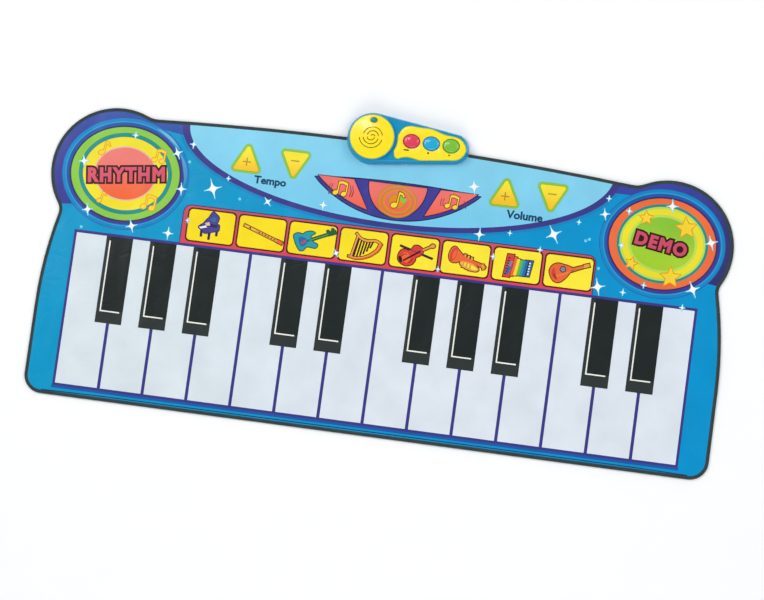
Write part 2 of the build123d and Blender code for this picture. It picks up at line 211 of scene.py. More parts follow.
def lettering(text: str, x: float, y: float, width: float, tall: float, turn: float = 0.0,
              spacing: float = 1.0) -> list[Loop]:
    """A word's outlines in the plain built-in face, fitted to a width and height about a centre.

    Args:
        text: The word.
        x: Its centre across.
        y: Its centre along.
        width: Its width in millimetres.
        tall: Its height in millimetres.
        turn: Its slope in degrees.
        spacing: How widely its letters stand, where 1 is as usual.

    Returns:
        One loop for each outline: letters counter-clockwise and their counters clockwise.
    """
    curve = bpy.data.curves.new("word", "FONT")
    curve.body, curve.fill_mode, curve.resolution_u = text, "NONE", 3
    curve.space_character = spacing
    holder = bpy.data.objects.new("word", curve)
    mesh = bpy.data.meshes.new_from_object(holder)
    points, edges = np.zeros(len(mesh.vertices) * 3), np.zeros(len(mesh.edges) * 2, int)
    mesh.vertices.foreach_get("co", points)
    mesh.edges.foreach_get("vertices", edges)
    points, edges = points.reshape(-1, 3)[:, :2], np.sort(edges.reshape(-1, 2), axis=1)
    closing = sorted(edges[edges[:, 1] - edges[:, 0] > 1].tolist())
    bpy.data.objects.remove(holder)
    bpy.data.curves.remove(curve)
    bpy.data.meshes.remove(mesh)
    low, high = points.min(0), points.max(0)
    points = (points - (low + high) / 2) / (high - low) * (width, tall)
    loops = [points[first:last + 1] for first, last in closing]
    if sum(area_of(loop) for loop in loops) < 0:
        loops = [loop[::-1] for loop in loops]
    return [turned(loop, turn) + (x, y) for loop in loops]


def area_of(loop: Loop) -> float:
    """The area inside an outline, negative when it runs clockwise."""
    after = np.roll(loop, -1, 0)
    return float((loop[:, 0] * after[:, 1] - after[:, 0] * loop[:, 1]).sum() / 2)


def spaced(loop: Loop, step: float) -> Loop:
    """An outline with points added along its long edges, so that none is longer than a step.

    Args:
        loop: The outline.
        step: The longest edge allowed.

    Returns:
        The outline with the added points.
    """
    run = np.roll(loop, -1, 0) - loop
    parts = np.maximum(1, np.ceil(np.linalg.norm(run, axis=1) / step).astype(int))
    start = np.repeat(np.arange(len(loop)), parts)
    share = (np.arange(parts.sum()) - np.repeat(np.cumsum(parts) - parts, parts)) / parts[start]
    return loop[start] + run[start] * share[:, None]


def turns_round(points: Array, loops: list[Loop]) -> Array:
    """How many times the outlines go round each point, counter-clockwise turns less clockwise ones.

    Args:
        points: Plan points.
        loops: The outlines.

    Returns:
        A whole number for each point.
    """
    total = np.zeros(len(points), int)
    for loop in loops:
        near = np.flatnonzero(((points > loop.min(0)) & (points < loop.max(0))).all(1))
        a, b = loop, np.roll(loop, -1, 0)
        for some in np.array_split(near, max(1, len(near) * len(loop) // 2_000_000)):
            p = points[some][:, None]
            left = (b[:, 0] - a[:, 0]) * (p[..., 1] - a[:, 1]) - (p[..., 0] - a[:, 0]) * (b[:, 1] - a[:, 1])
            up = (a[:, 1] <= p[..., 1]) & (b[:, 1] > p[..., 1]) & (left > 0)
            down = (a[:, 1] > p[..., 1]) & (b[:, 1] <= p[..., 1]) & (left < 0)
            total[some] += up.sum(1) - down.sum(1)
    return total


def plan_of(node: str) -> list[Loop]:
    """The outlines of a node's highest flat face.

    The triangles at the node's top height are kept, and the edges that only one of them uses are
    joined end to end.

    Args:
        node: The CAD node.

    Returns:
        Its loops in plan millimetres, outer ones counter-clockwise and openings clockwise.
    """
    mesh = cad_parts[node].data
    mesh.calc_loop_triangles()
    co, tri = np.zeros(len(mesh.vertices) * 3), np.zeros(len(mesh.loop_triangles) * 3, int)
    mesh.vertices.foreach_get("co", co)
    mesh.loop_triangles.foreach_get("vertices", tri)
    co = np.round(co.reshape(-1, 3) / MM, 3)
    co, same = np.unique(co, axis=0, return_inverse=True)
    tri = same.reshape(-1)[tri].reshape(-1, 3)
    top = tri[(co[tri][..., 2] > co[:, 2].max() - 0.01).all(1)]
    after = dict(rim_edges(top).tolist())
    loops = []
    while after:
        first, here = next(iter(after.items()))
        del after[first]
        chain = [first]
        while here != first:
            chain.append(here)
            here = after.pop(here)
        loops.append(co[chain][:, :2] - (0, FIELD_CENTRE_Y))
    return loops


def rim_edges(tri: Array) -> Array:
    """The directed edges that only one triangle uses.

    Args:
        tri: Triangles as corner numbers.

    Returns:
        Pairs of corner numbers.
    """
    edges = np.concatenate([tri[:, [0, 1]], tri[:, [1, 2]], tri[:, [2, 0]]])
    code, back = edges @ (tri.max() + 1, 1), edges[:, ::-1] @ (tri.max() + 1, 1)
    return edges[~np.isin(code, back)]


# ------------------------------------------------------------------ finishes

def linear(code: str) -> tuple[float, float, float, float]:
    """An sRGB hex colour as linear red, green, blue and a full alpha."""
    parts = [int(code[i:i + 2], 16) / 255 for i in (1, 3, 5)]
    return (*(p / 12.92 if p <= 0.04045 else ((p + 0.055) / 1.055) ** 2.4 for p in parts), 1.0)


def add(tree: bpy.types.NodeTree, kind: str, sockets: dict | None = None, **settings) -> bpy.types.Node:
    """Adds a node.

    Args:
        tree: The material's node tree.
        kind: The node type, without its "ShaderNode" prefix.
        sockets: Values or output sockets for its inputs, by name or number.
        **settings: The node's own properties.

    Returns:
        The new node.
    """
    node = tree.nodes.new("ShaderNode" + kind)
    for name, value in settings.items():
        setattr(node, name, value)
    for name, value in (sockets or {}).items():
        if isinstance(value, bpy.types.NodeSocket):
            tree.links.new(value, node.inputs[name])
        else:
            node.inputs[name].default_value = value
    return node


@dataclass(frozen=True)
class Finish:
    """What a surface is made of. A subclass adds its own colour, roughness and relief.

    Attributes:
        name: The material's name.
        colour: Its sRGB colour.
        roughness: Its mean roughness.
        specular: How strongly it mirrors its surroundings, where 0.5 is an index of 1.5.
        drift: How much its colour drifts lighter and darker, as a share.
        tone: How light the colour shows, where 1 is as named.
    """

    name: str
    colour: str
    roughness: float = 0.4
    specular: float = 0.4
    drift: float = 0.05
    tone: float = 1.0

    def material(self) -> bpy.types.Material:
        """The finish as a node material, made once.

        Returns:
            The material.
        """
        found = bpy.data.materials.get(self.name)
        if found:
            return found
        made = bpy.data.materials.new(self.name)
        made.use_nodes = True
        tree = made.node_tree
        shader = tree.nodes["Principled BSDF"]
        shader.inputs["Specular IOR Level"].default_value = self.specular
        shader.inputs["Roughness"].default_value = self.roughness
        made.diffuse_color = linear(self.colour)
        self.dress(tree, shader, add(tree, "TexCoord").outputs["Object"])
        return made

    def dress(self, tree: bpy.types.NodeTree, shader: bpy.types.Node, place: bpy.types.NodeSocket) -> None:
        """Gives the surface its colour and relief; a plain one only varies a little."""
        self.vary(tree, shader, place, scale_mm=80, depth=self.drift)

    def noise(self, tree: bpy.types.NodeTree, place: bpy.types.NodeSocket, scale_mm: float,
              detail: float = 2.0) -> bpy.types.NodeSocket:
        """Soft noise whose features are some millimetres across."""
        sockets = {"Vector": place, "Scale": 1 / (scale_mm * MM), "Detail": detail}
        return add(tree, "TexNoise", sockets).outputs["Fac"]

    def vary(self, tree: bpy.types.NodeTree, shader: bpy.types.Node, place: bpy.types.NodeSocket,
             scale_mm: float, depth: float, colour: bpy.types.NodeSocket | None = None) -> None:
        """Lets the colour drift lighter and darker in soft patches.

        Args:
            tree: The material's node tree.
            shader: Its surface shader.
            place: Where the point is.
            scale_mm: How wide a patch is.
            depth: How much darker and lighter, as a share.
            colour: The colour to vary, when it isn't the plain one.
        """
        patch = self.noise(tree, place, scale_mm, 4.0)
        value = add(tree, "MapRange", {"Value": patch, "From Min": 0.3, "From Max": 0.7,
                                       "To Min": self.tone * (1 - depth), "To Max": self.tone * (1 + depth)})
        sockets = {"Value": value.outputs[0], "Color": colour or linear(self.colour)}
        tinted = add(tree, "HueSaturation", sockets)
        tree.links.new(tinted.outputs[0], shader.inputs["Base Color"])

    def raise_by(self, tree: bpy.types.NodeTree, shader: bpy.types.Node,
                 layers: list[tuple[bpy.types.NodeSocket, float]], strength: float = 1.0) -> None:
        """Chains bump layers, each a height signal and its depth in millimetres.

        Args:
            tree: The material's node tree.
            shader: Its surface shader.
            layers: Height signals and their depths.
            strength: How much of each shows.
        """
        normal = None
        for signal, depth in layers:
            sockets = {"Height": signal, "Distance": depth * MM, "Strength": strength}
            bump = add(tree, "Bump", sockets)
            if normal:
                tree.links.new(normal, bump.inputs["Normal"])
            normal = bump.outputs[0]
        tree.links.new(normal, shader.inputs["Normal"])


@dataclass(frozen=True)
class PrintedVinyl(Finish):
    """Screen-printed PVC sheet under a clear film, calendered: a soft shine, faint waves and a fine grain.

    Attributes:
        far_colour: The colour that the print fades to, or none.
        fade: Start and end of the fade, plan millimetres.
    """

    roughness: float = 0.33
    specular: float = 0.2
    tone: float = 0.93
    far_colour: str = ""
    fade: tuple[float, float, float, float] = (0, 0, 0, 1)

    def dress(self, tree: bpy.types.NodeTree, shader: bpy.types.Node, place: bpy.types.NodeSocket) -> None:
        """Fades the print across its span, then adds uneven gloss, soft waves and the film's grain.

        Args:
            tree: The material's node tree.
            shader: Its surface shader.
            place: Where the point is.
        """
        colour = None
        if self.far_colour:
            start = Vector((self.fade[0], self.fade[1] + FIELD_CENTRE_Y, 0)) * MM
            way = Vector((self.fade[2], self.fade[3] + FIELD_CENTRE_Y, 0)) * MM - start
            moved = add(tree, "VectorMath", {0: place, 1: start}, operation="SUBTRACT")
            along = add(tree, "VectorMath", {0: moved.outputs[0], 1: way / way.length_squared},
                        operation="DOT_PRODUCT")
            share = add(tree, "MapRange", {"Value": along.outputs["Value"]}, interpolation_type="SMOOTHSTEP")
            mix = add(tree, "Mix", {0: share.outputs[0], 6: linear(self.colour), 7: linear(self.far_colour)},
                      data_type="RGBA")
            colour = mix.outputs[2]
        self.vary(tree, shader, place, scale_mm=95, depth=0.05, colour=colour)
        smear = self.noise(tree, place, 55, 3.0)
        gloss = add(tree, "MapRange", {"Value": smear, "To Min": self.roughness - 0.09,
                                       "To Max": self.roughness + 0.09})
        tree.links.new(gloss.outputs[0], shader.inputs["Roughness"])
        long_way = add(tree, "Mapping", {"Vector": place, "Scale": (1.0, 0.35, 1.0)})
        wave = self.noise(tree, long_way.outputs[0], 70, 1.5)
        # Creases: where the noise is near its middle value, a narrow ridge runs across the sheet.
        crease = add(tree, "Math", {0: self.noise(tree, place, 85, 2.0), 1: 0.5}, operation="SUBTRACT")
        ridge = add(tree, "Math", {0: crease.outputs[0]}, operation="ABSOLUTE")
        fold = add(tree, "MapRange", {"Value": ridge.outputs[0], "From Max": 0.05},
                   interpolation_type="SMOOTHSTEP")
        # The real grain is about 0.4 mm; it is drawn at 1.6 mm so that it shows.
        grain = self.noise(tree, place, 1.6, 1.0)
        self.raise_by(tree, shader, [(wave, 5.5), (fold.outputs[0], 0.18), (grain, 0.03)])


@dataclass(frozen=True)
class MouldedAbs(Finish):
    """Injection-moulded ABS, glossy tool finish: a clean shine over a faint ripple from the mould."""

    roughness: float = 0.2
    specular: float = 0.5

    def dress(self, tree: bpy.types.NodeTree, shader: bpy.types.Node, place: bpy.types.NodeSocket) -> None:
        """Varies the colour a little, scuffs the gloss and adds the moulding's ripple.

        Args:
            tree: The material's node tree.
            shader: Its surface shader.
            place: Where the point is.
        """
        self.vary(tree, shader, place, scale_mm=30, depth=0.025)
        scuff = self.noise(tree, place, 9, 5.0)
        gloss = add(tree, "MapRange", {"Value": scuff, "From Min": 0.35, "From Max": 0.75,
                                       "To Min": self.roughness - 0.05, "To Max": self.roughness + 0.1})
        tree.links.new(gloss.outputs[0], shader.inputs["Roughness"])
        shader.inputs["Coat Weight"].default_value = 0.12
        shader.inputs["Coat Roughness"].default_value = 0.08
        self.raise_by(tree, shader, [(self.noise(tree, place, 14, 1.0), 0.25),
                                     (self.noise(tree, place, 0.7), 0.01)])


@dataclass(frozen=True)
class WovenTape(Finish):
    """Polyester binding tape: dull, with ribs across it that catch a little light."""

    roughness: float = 0.72
    specular: float = 0.3
    rib_mm: float = 1.4  # the real ribs are 0.7 mm; drawn twice as wide so that they show

    def dress(self, tree: bpy.types.NodeTree, shader: bpy.types.Node, place: bpy.types.NodeSocket) -> None:
        """Crossed bands make the weave; where they cross, the raised threads are a painted highlight, a shade
        lighter.

        Args:
            tree: The material's node tree.
            shader: Its surface shader.
            place: Where the point is.
        """
        weave = [
            add(tree, "TexWave", {"Vector": place, "Scale": 0.314 / (self.rib_mm * MM), "Distortion": 0.6},
                bands_direction=way).outputs["Fac"]
            for way in ("X", "Y")
        ]
        both = add(tree, "Math", {0: weave[0], 1: weave[1]}, operation="MULTIPLY")
        # Painted highlight: where the bands cross and the bump is highest, the colour mixes to a lighter
        # grey-green.
        mix = add(tree, "Mix", {0: both.outputs[0], 6: linear(self.colour), 7: linear("#3F5355")},
                  data_type="RGBA")
        self.vary(tree, shader, place, scale_mm=35, depth=0.18, colour=mix.outputs[2])
        shader.inputs["Sheen Weight"].default_value = 0.15
        self.raise_by(tree, shader, [(both.outputs[0], 0.25), (self.noise(tree, place, 18), 0.6)])


@dataclass(frozen=True)
class CellFoam(Finish):
    """Open-cell polyether foam: matt, with small pores."""

    roughness: float = 0.95
    specular: float = 0.2

    def dress(self, tree: bpy.types.NodeTree, shader: bpy.types.Node, place: bpy.types.NodeSocket) -> None:
        """Pores from cell noise are darkened as painted shade, and dent the surface.

        Args:
            tree: The material's node tree.
            shader: Its surface shader.
            place: Where the point is.
        """
        cells = add(tree, "TexVoronoi", {"Vector": place, "Scale": 1 / (1.5 * MM)}).outputs["Distance"]
        # Painted shade: the colour darkens towards each cell's middle, where the pores are.
        mix = add(tree, "Mix", {0: cells, 6: linear("#8F8C80"), 7: linear(self.colour)}, data_type="RGBA")
        self.vary(tree, shader, place, scale_mm=25, depth=0.08, colour=mix.outputs[2])
        self.raise_by(tree, shader, [(cells, 0.5)])


@dataclass(frozen=True)
class RolledMetal(Finish):
    """Plated steel: bright, with fine scratches along its length."""

    roughness: float = 0.32
    specular: float = 0.5

    def dress(self, tree: bpy.types.NodeTree, shader: bpy.types.Node, place: bpy.types.NodeSocket) -> None:
        """Stretched noise scratches the plating.

        Args:
            tree: The material's node tree.
            shader: Its surface shader.
            place: Where the point is.
        """
        shader.inputs["Metallic"].default_value = 1.0
        self.vary(tree, shader, place, scale_mm=4, depth=0.12)
        stretched = add(tree, "Mapping", {"Vector": place, "Scale": (0.1, 1.0, 1.0)})
        self.raise_by(tree, shader, [(self.noise(tree, stretched.outputs[0], 0.4), 0.02)])


@dataclass(frozen=True)
class ClearFilm(Finish):
    """Polyester film with silver-ink tracks: a milky sheet crossed by fine grey lines."""

    roughness: float = 0.25
    track_mm: float = 12.0

    def dress(self, tree: bpy.types.NodeTree, shader: bpy.types.Node, place: bpy.types.NodeSocket) -> None:
        """Narrow bands every few millimetres are the conductive tracks.

        Args:
            tree: The material's node tree.
            shader: Its surface shader.
            place: Where the point is.
        """
        lines = add(tree, "TexWave", {"Vector": place, "Scale": 0.314 / (self.track_mm * MM)},
                    bands_direction="X").outputs["Fac"]
        track = add(tree, "MapRange", {"Value": lines, "From Min": 0.93, "From Max": 0.96})
        mix = add(tree, "Mix", {0: track.outputs[0], 6: linear(self.colour), 7: linear("#7E8388")},
                  data_type="RGBA")
        tree.links.new(mix.outputs[2], shader.inputs["Base Color"])
        self.raise_by(tree, shader, [(track.outputs[0], 0.02)])


class Hue(Enum):
    """The printed colours and the colours of the painted light, each with the colour and plan span that it
    fades over where it does.
    """

    SEA_BLUE = ("#0099C9", "#0093CE", (-900, 0, 900, 0))
    DEEP_BLUE = ("#1F5AA8", "", ())
    GLOW_BLUE = ("#2D9ED6", "", ())
    EDGE_BLUE = ("#1387C4", "", ())
    SKY = ("#86D3EF", "#79CDEE", (0, 500, 0, 330))
    INDIGO_LEFT = ("#3D3F96", "#2F54A8", (-880, 300, -640, 520))
    INDIGO_RIGHT = ("#33336F", "#3A45A0", (900, 300, 640, 500))
    INDIGO = ("#3F3C93", "", ())
    FRAME_VIOLET = ("#3C3B88", "", ())
    NAVY = ("#232B57", "", ())
    INK_BLUE = ("#174266", "", ())
    BAND_RED = ("#D9485C", "#C75568", (0, 215, 0, 300))
    MAROON = ("#571A1E", "", ())
    SIGNAL_YELLOW = ("#FBE01C", "#FFEA3A", (-300, 225, 300, 300))
    GOLD = ("#F9C22B", "#FBE63C", (-480, 410, -480, 470))
    MELON = ("#F6613F", "#F2756E", (0, 330, 0, 425))
    CORAL_DISC = ("#F46A3E", "#F08078", (-708, 310, -708, 420))
    LIME_DISC = ("#A6D334", "#8CC63A", (709, 310, 709, 425))
    PALE_LIME = ("#BFDF5B", "", ())
    BEIGE = ("#E6C29A", "", ())
    RING_YELLOW = ("#F3E12A", "", ())
    RING_TEAL = ("#23908A", "", ())
    RING_GREEN = ("#8FCB49", "", ())
    RING_ORANGE = ("#F1703F", "", ())
    ROSE = ("#D8586C", "#CC4F68", (-800, 365, 700, 365))
    CLARET = ("#3B1217", "", ())
    NOTE_YELLOW = ("#FBD836", "", ())
    AMBER = ("#E88C1E", "", ())
    GLOW_GREEN = ("#8CC63F", "", ())
    OLIVE = ("#A9923A", "", ())
    GLITTER_WHITE = ("#FFFFFF", "", ())
    GLITTER_CYAN = ("#6FD3EE", "", ())
    # Painted light: the white keys are drawn lighter towards the right.
    KEY_WHITE = ("#DCE6EC", "#E0E8F0", (-800, 0, 300, 0))
    KEY_BLACK = ("#202726", "", ())
    KEY_SHADE = ("#303736", "", ())
    KEY_LINE = ("#F4F4EC", "", ())
    GREY = ("#7E8C9C", "", ())
    SMOKE = ("#6B3F49", "", ())
    # Painted highlight: the pale blue of the glare crescents on the left disc's ring, not a printed colour.
    GLARE = ("#7DB6DE", "#4F94CC", (-620, 470, -545, 380))
    GLOW_SOFT = ("#7CC7A6", "", ())
    INSTRUMENT_BROWN = ("#421C12", "", ())
    INSTRUMENT_RED = ("#D8433A", "", ())
    INSTRUMENT_ORANGE = ("#EE6A3A", "", ())
    INSTRUMENT_TAN = ("#EBA04A", "", ())
    INSTRUMENT_TEAL = ("#2B9CB0", "", ())
    INSTRUMENT_BLUE = ("#2C6CA6", "", ())
    INSTRUMENT_GREEN = ("#1F5F3A", "", ())
    INSTRUMENT_VIOLET = ("#4B4390", "", ())
    INSTRUMENT_LEAF = ("#69B84A", "", ())

    @property
    def finish(self) -> PrintedVinyl:
        """The print, or the painted light, in this colour.

        Returns:
            The finish.
        """
        near, far, fade = self.value
        name = "printed_vinyl_" + self.name.lower()
        return PrintedVinyl(name, near, far_colour=far, fade=fade or (0, 0, 0, 1))


# ------------------------------------------------------------------ meshes

def make_piece(name: str, points: Array, faces: list, finishes: list[Finish], body: str,
               picks: Array | None = None, crease: float = 40.0) -> bpy.types.Object:
    """Makes a finished piece and lets it ride on a body.

    Args:
        name: The piece's name.
        points: Its (n, 3) corners, plan millimetres and height.
        faces: Its faces as corner numbers, seen counter-clockwise from outside.
        finishes: Its finishes.
        body: The body that it moves with.
        picks: The number of each face's finish.
        crease: The angle in degrees from which an edge stays sharp.

    Returns:
        The piece.
    """
    mesh = bpy.data.meshes.new(name)
    mesh.from_pydata((points + (0, FIELD_CENTRE_Y, 0)) * MM, [], faces)
    for finish in finishes:
        mesh.materials.append(finish.material())
    if picks is not None:
        mesh.polygons.foreach_set("material_index", picks.astype(np.int32))
    mesh.shade_smooth()
    mesh.set_sharp_from_angle(angle=math.radians(crease))
    mesh.update()
    piece = bpy.data.objects.new(name, mesh)
    bpy.context.scene.collection.objects.link(piece)
    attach(piece, body)
    log.info("%s: %d faces on %s", name, len(faces), body)
    return piece


def slab(xy: Array, tri: Array, top: Array, bottom: Array) -> tuple[Array, list, Array]:
    """A closed slab over some triangles: their top, the same turned over below, and a wall round the rim.

    Args:
        xy: Plan points.
        tri: The triangles, counter-clockwise.
        top: The height of every plan point's upper corner.
        bottom: The height of its lower corner.

    Returns:
        The corners, the faces, and for each face the number of the triangle it belongs to.
    """
    used, small = np.unique(tri, return_inverse=True)
    small = small.reshape(-1, 3)
    n = len(used)
    upper = np.column_stack([xy[used], top[used]])
    lower = np.column_stack([xy[used], bottom[used]])
    rim = rim_edges(small)
    walls = np.stack([rim[:, 0], rim[:, 0] + n, rim[:, 1] + n, rim[:, 1]], 1)
    owner_of = {}
    for side in ((0, 1), (1, 2), (2, 0)):
        owner_of.update(zip(map(tuple, small[:, side].tolist()), range(len(small))))
    wall_owner = [owner_of[tuple(edge)] for edge in rim.tolist()]
    faces = small.tolist() + (small[:, ::-1] + n).tolist() + walls.tolist()
    owner = np.concatenate([np.arange(len(small)), np.arange(len(small)), np.array(wall_owner, int)])
    return np.concatenate([upper, lower]), faces, owner


def carried(profile: Array, path: Array, side: Array, closed: bool = True) -> tuple[Array, list]:
    """A closed profile carried along a path: point = path + profile across * side, at the profile's height.

    Args:
        profile: The (m, 2) corners of the section, across and up, clockwise seen along the path.
        path: The (n, 2) points of the path.
        side: The (n, 2) unit normals of the path, to its right.
        closed: Whether the path ends where it begins.

    Returns:
        The corners and the faces.
    """
    n, m = len(path), len(profile)
    spot = path[:, None] + side[:, None] * profile[None, :, :1]
    points = np.concatenate([spot, np.broadcast_to(profile[None, :, 1:], (n, m, 1))], 2).reshape(-1, 3)
    i, j = np.meshgrid(np.arange(n if closed else n - 1), np.arange(m), indexing="ij")
    a, b = (i * m + j).ravel(), (i * m + (j + 1) % m).ravel()
    c, d = ((i + 1) % n * m + (j + 1) % m).ravel(), ((i + 1) % n * m + j).ravel()
    faces = np.stack([a, d, c, b], 1).tolist()
    if not closed:
        faces += [list(range(m)), list(range((n - 1) * m, n * m))[::-1]]
    return points, faces


def oval_skin(x: float, y: float, rows: Array, count: int = 64) -> tuple[Array, list]:
    """A skin over ovals: each row gives its two radii and height; the first and last rows are poles.

    Args:
        x: The centre across.
        y: The centre along.
        rows: The (m, 3) rows from the lowest pole to the highest.
        count: Points round each oval.

    Returns:
        The corners and the faces.
    """
    t = np.linspace(0, math.tau, count, endpoint=False)
    ring = np.stack([np.cos(t), np.sin(t), np.ones(count)], 1)
    inner = rows[1:-1]
    grid = (inner[:, None] * ring[None]).reshape(-1, 3)
    points = np.concatenate([grid, [(0, 0, rows[0, 2]), (0, 0, rows[-1, 2])]]) + (x, y, 0)
    k = np.arange(count)
    after = (k + 1) % count
    low, high = len(grid), len(grid) + 1
    last = (len(inner) - 1) * count
    faces = np.stack([np.full(count, low), after, k], 1).tolist()
    for row in range(len(inner) - 1):
        faces += (np.stack([k, after, after + count, k + count], 1) + row * count).tolist()
    return points, faces + np.stack([last + k, last + after, np.full(count, high)], 1).tolist()


def right_of(path: Array, closed: bool = True) -> Array:
    """Unit normals to the right of a path's direction.

    Args:
        path: The path.
        closed: Whether the path ends where it begins.

    Returns:
        A unit vector for each point.
    """
    way = np.roll(path, -1, 0) - np.roll(path, 1, 0) if closed else np.gradient(path, axis=0)
    way = way / np.linalg.norm(way, axis=1)[:, None]
    return np.stack([way[:, 1], -way[:, 0]], 1)


def evenly(path: Array, step: float) -> Array:
    """Points at even steps along an open path.

    Args:
        path: The path.
        step: The distance wanted between points.

    Returns:
        The new points.
    """
    run = np.concatenate([[0], np.cumsum(np.linalg.norm(np.diff(path, axis=0), axis=1))])
    at = np.linspace(0, run[-1], max(2, round(run[-1] / step) + 1))
    return np.stack([np.interp(at, run, path[:, 0]), np.interp(at, run, path[:, 1])], 1)


def bead(name: str, loop: Loop, radius: float, height: float, finish: Finish, body: str) -> bpy.types.Object:
    """A thin round bead along a closed outline.

    Args:
        name: The piece's name.
        loop: The outline.
        radius: The bead's radius.
        height: Its centre's height.
        finish: Its finish.
        body: The body that it moves with.

    Returns:
        The piece.
    """
    t = np.linspace(0, math.tau, 10, endpoint=False)
    section = np.stack([radius * np.cos(t), height + radius * np.sin(t)], 1)
    points, faces = carried(section, loop, right_of(loop))
    return make_piece(name, points, faces, [finish], body)


# ------------------------------------------------------------------ the mat's surface

@dataclass
class Relief:
    """How the padded mat lies: broad swells, soft fold lines and a roll down to its bound edge.

    Attributes:
        rim: The mat's outline.
        swell: Depth of the broad waves in millimetres.
        fold_x: Where the mat has been folded for its box.
        fold_depth: Depth of a fold line.
        roll: How far the edge drops.
        roll_width: How far in the drop reaches.
    """

    rim: Loop
    swell: float = 0.3
    fold_x: tuple[float, ...] = (-448.0, 0.0, 448.0)
    fold_depth: float = 0.35
    roll: float = 1.0
    roll_width: float = 13.0

    def height(self, xy: Array) -> Array:
        """Millimetres above the flat mat: crossed sines, less a bell curve at each fold and along the rim.

        Args:
            xy: Plan points.

        Returns:
            A height for each point.
        """
        x, y = xy[:, 0], xy[:, 1]
        wave = np.sin(x / 61 + np.sin(y / 97) * 0.9) * np.sin(y / 83 + 1.3 + np.sin(x / 173))
        wave += 0.5 * np.sin((x + 0.7 * y) / 47 + 0.4)
        z = self.swell * wave
        for fold in self.fold_x:
            z -= self.fold_depth * np.exp(-(((x - fold - 6 * np.sin(y / 90)) / 22) ** 2))
        return z - self.roll * np.exp(-((self.distance(xy) / self.roll_width) ** 2))

    def distance(self, xy: Array) -> Array:
        """How far each point is from the rim's nearest point.

        Args:
            xy: Plan points.

        Returns:
            A distance for each point.
        """
        rim = spaced(self.rim, 6)
        gap = np.empty(len(xy))
        for some in np.array_split(np.arange(len(xy)), max(1, len(xy) // 2000)):
            gap[some] = np.sqrt(((xy[some][:, None] - rim[None]) ** 2).sum(2).min(1))
        return gap


@dataclass
class Ink:
    """One printed shape, or one painted highlight or shade drawn like a print.

    Attributes:
        group: The print that it belongs to; each group becomes a piece of its own.
        hue: Its colour.
        loops: Its outlines.
    """

    group: str
    hue: Hue
    loops: list[Loop]


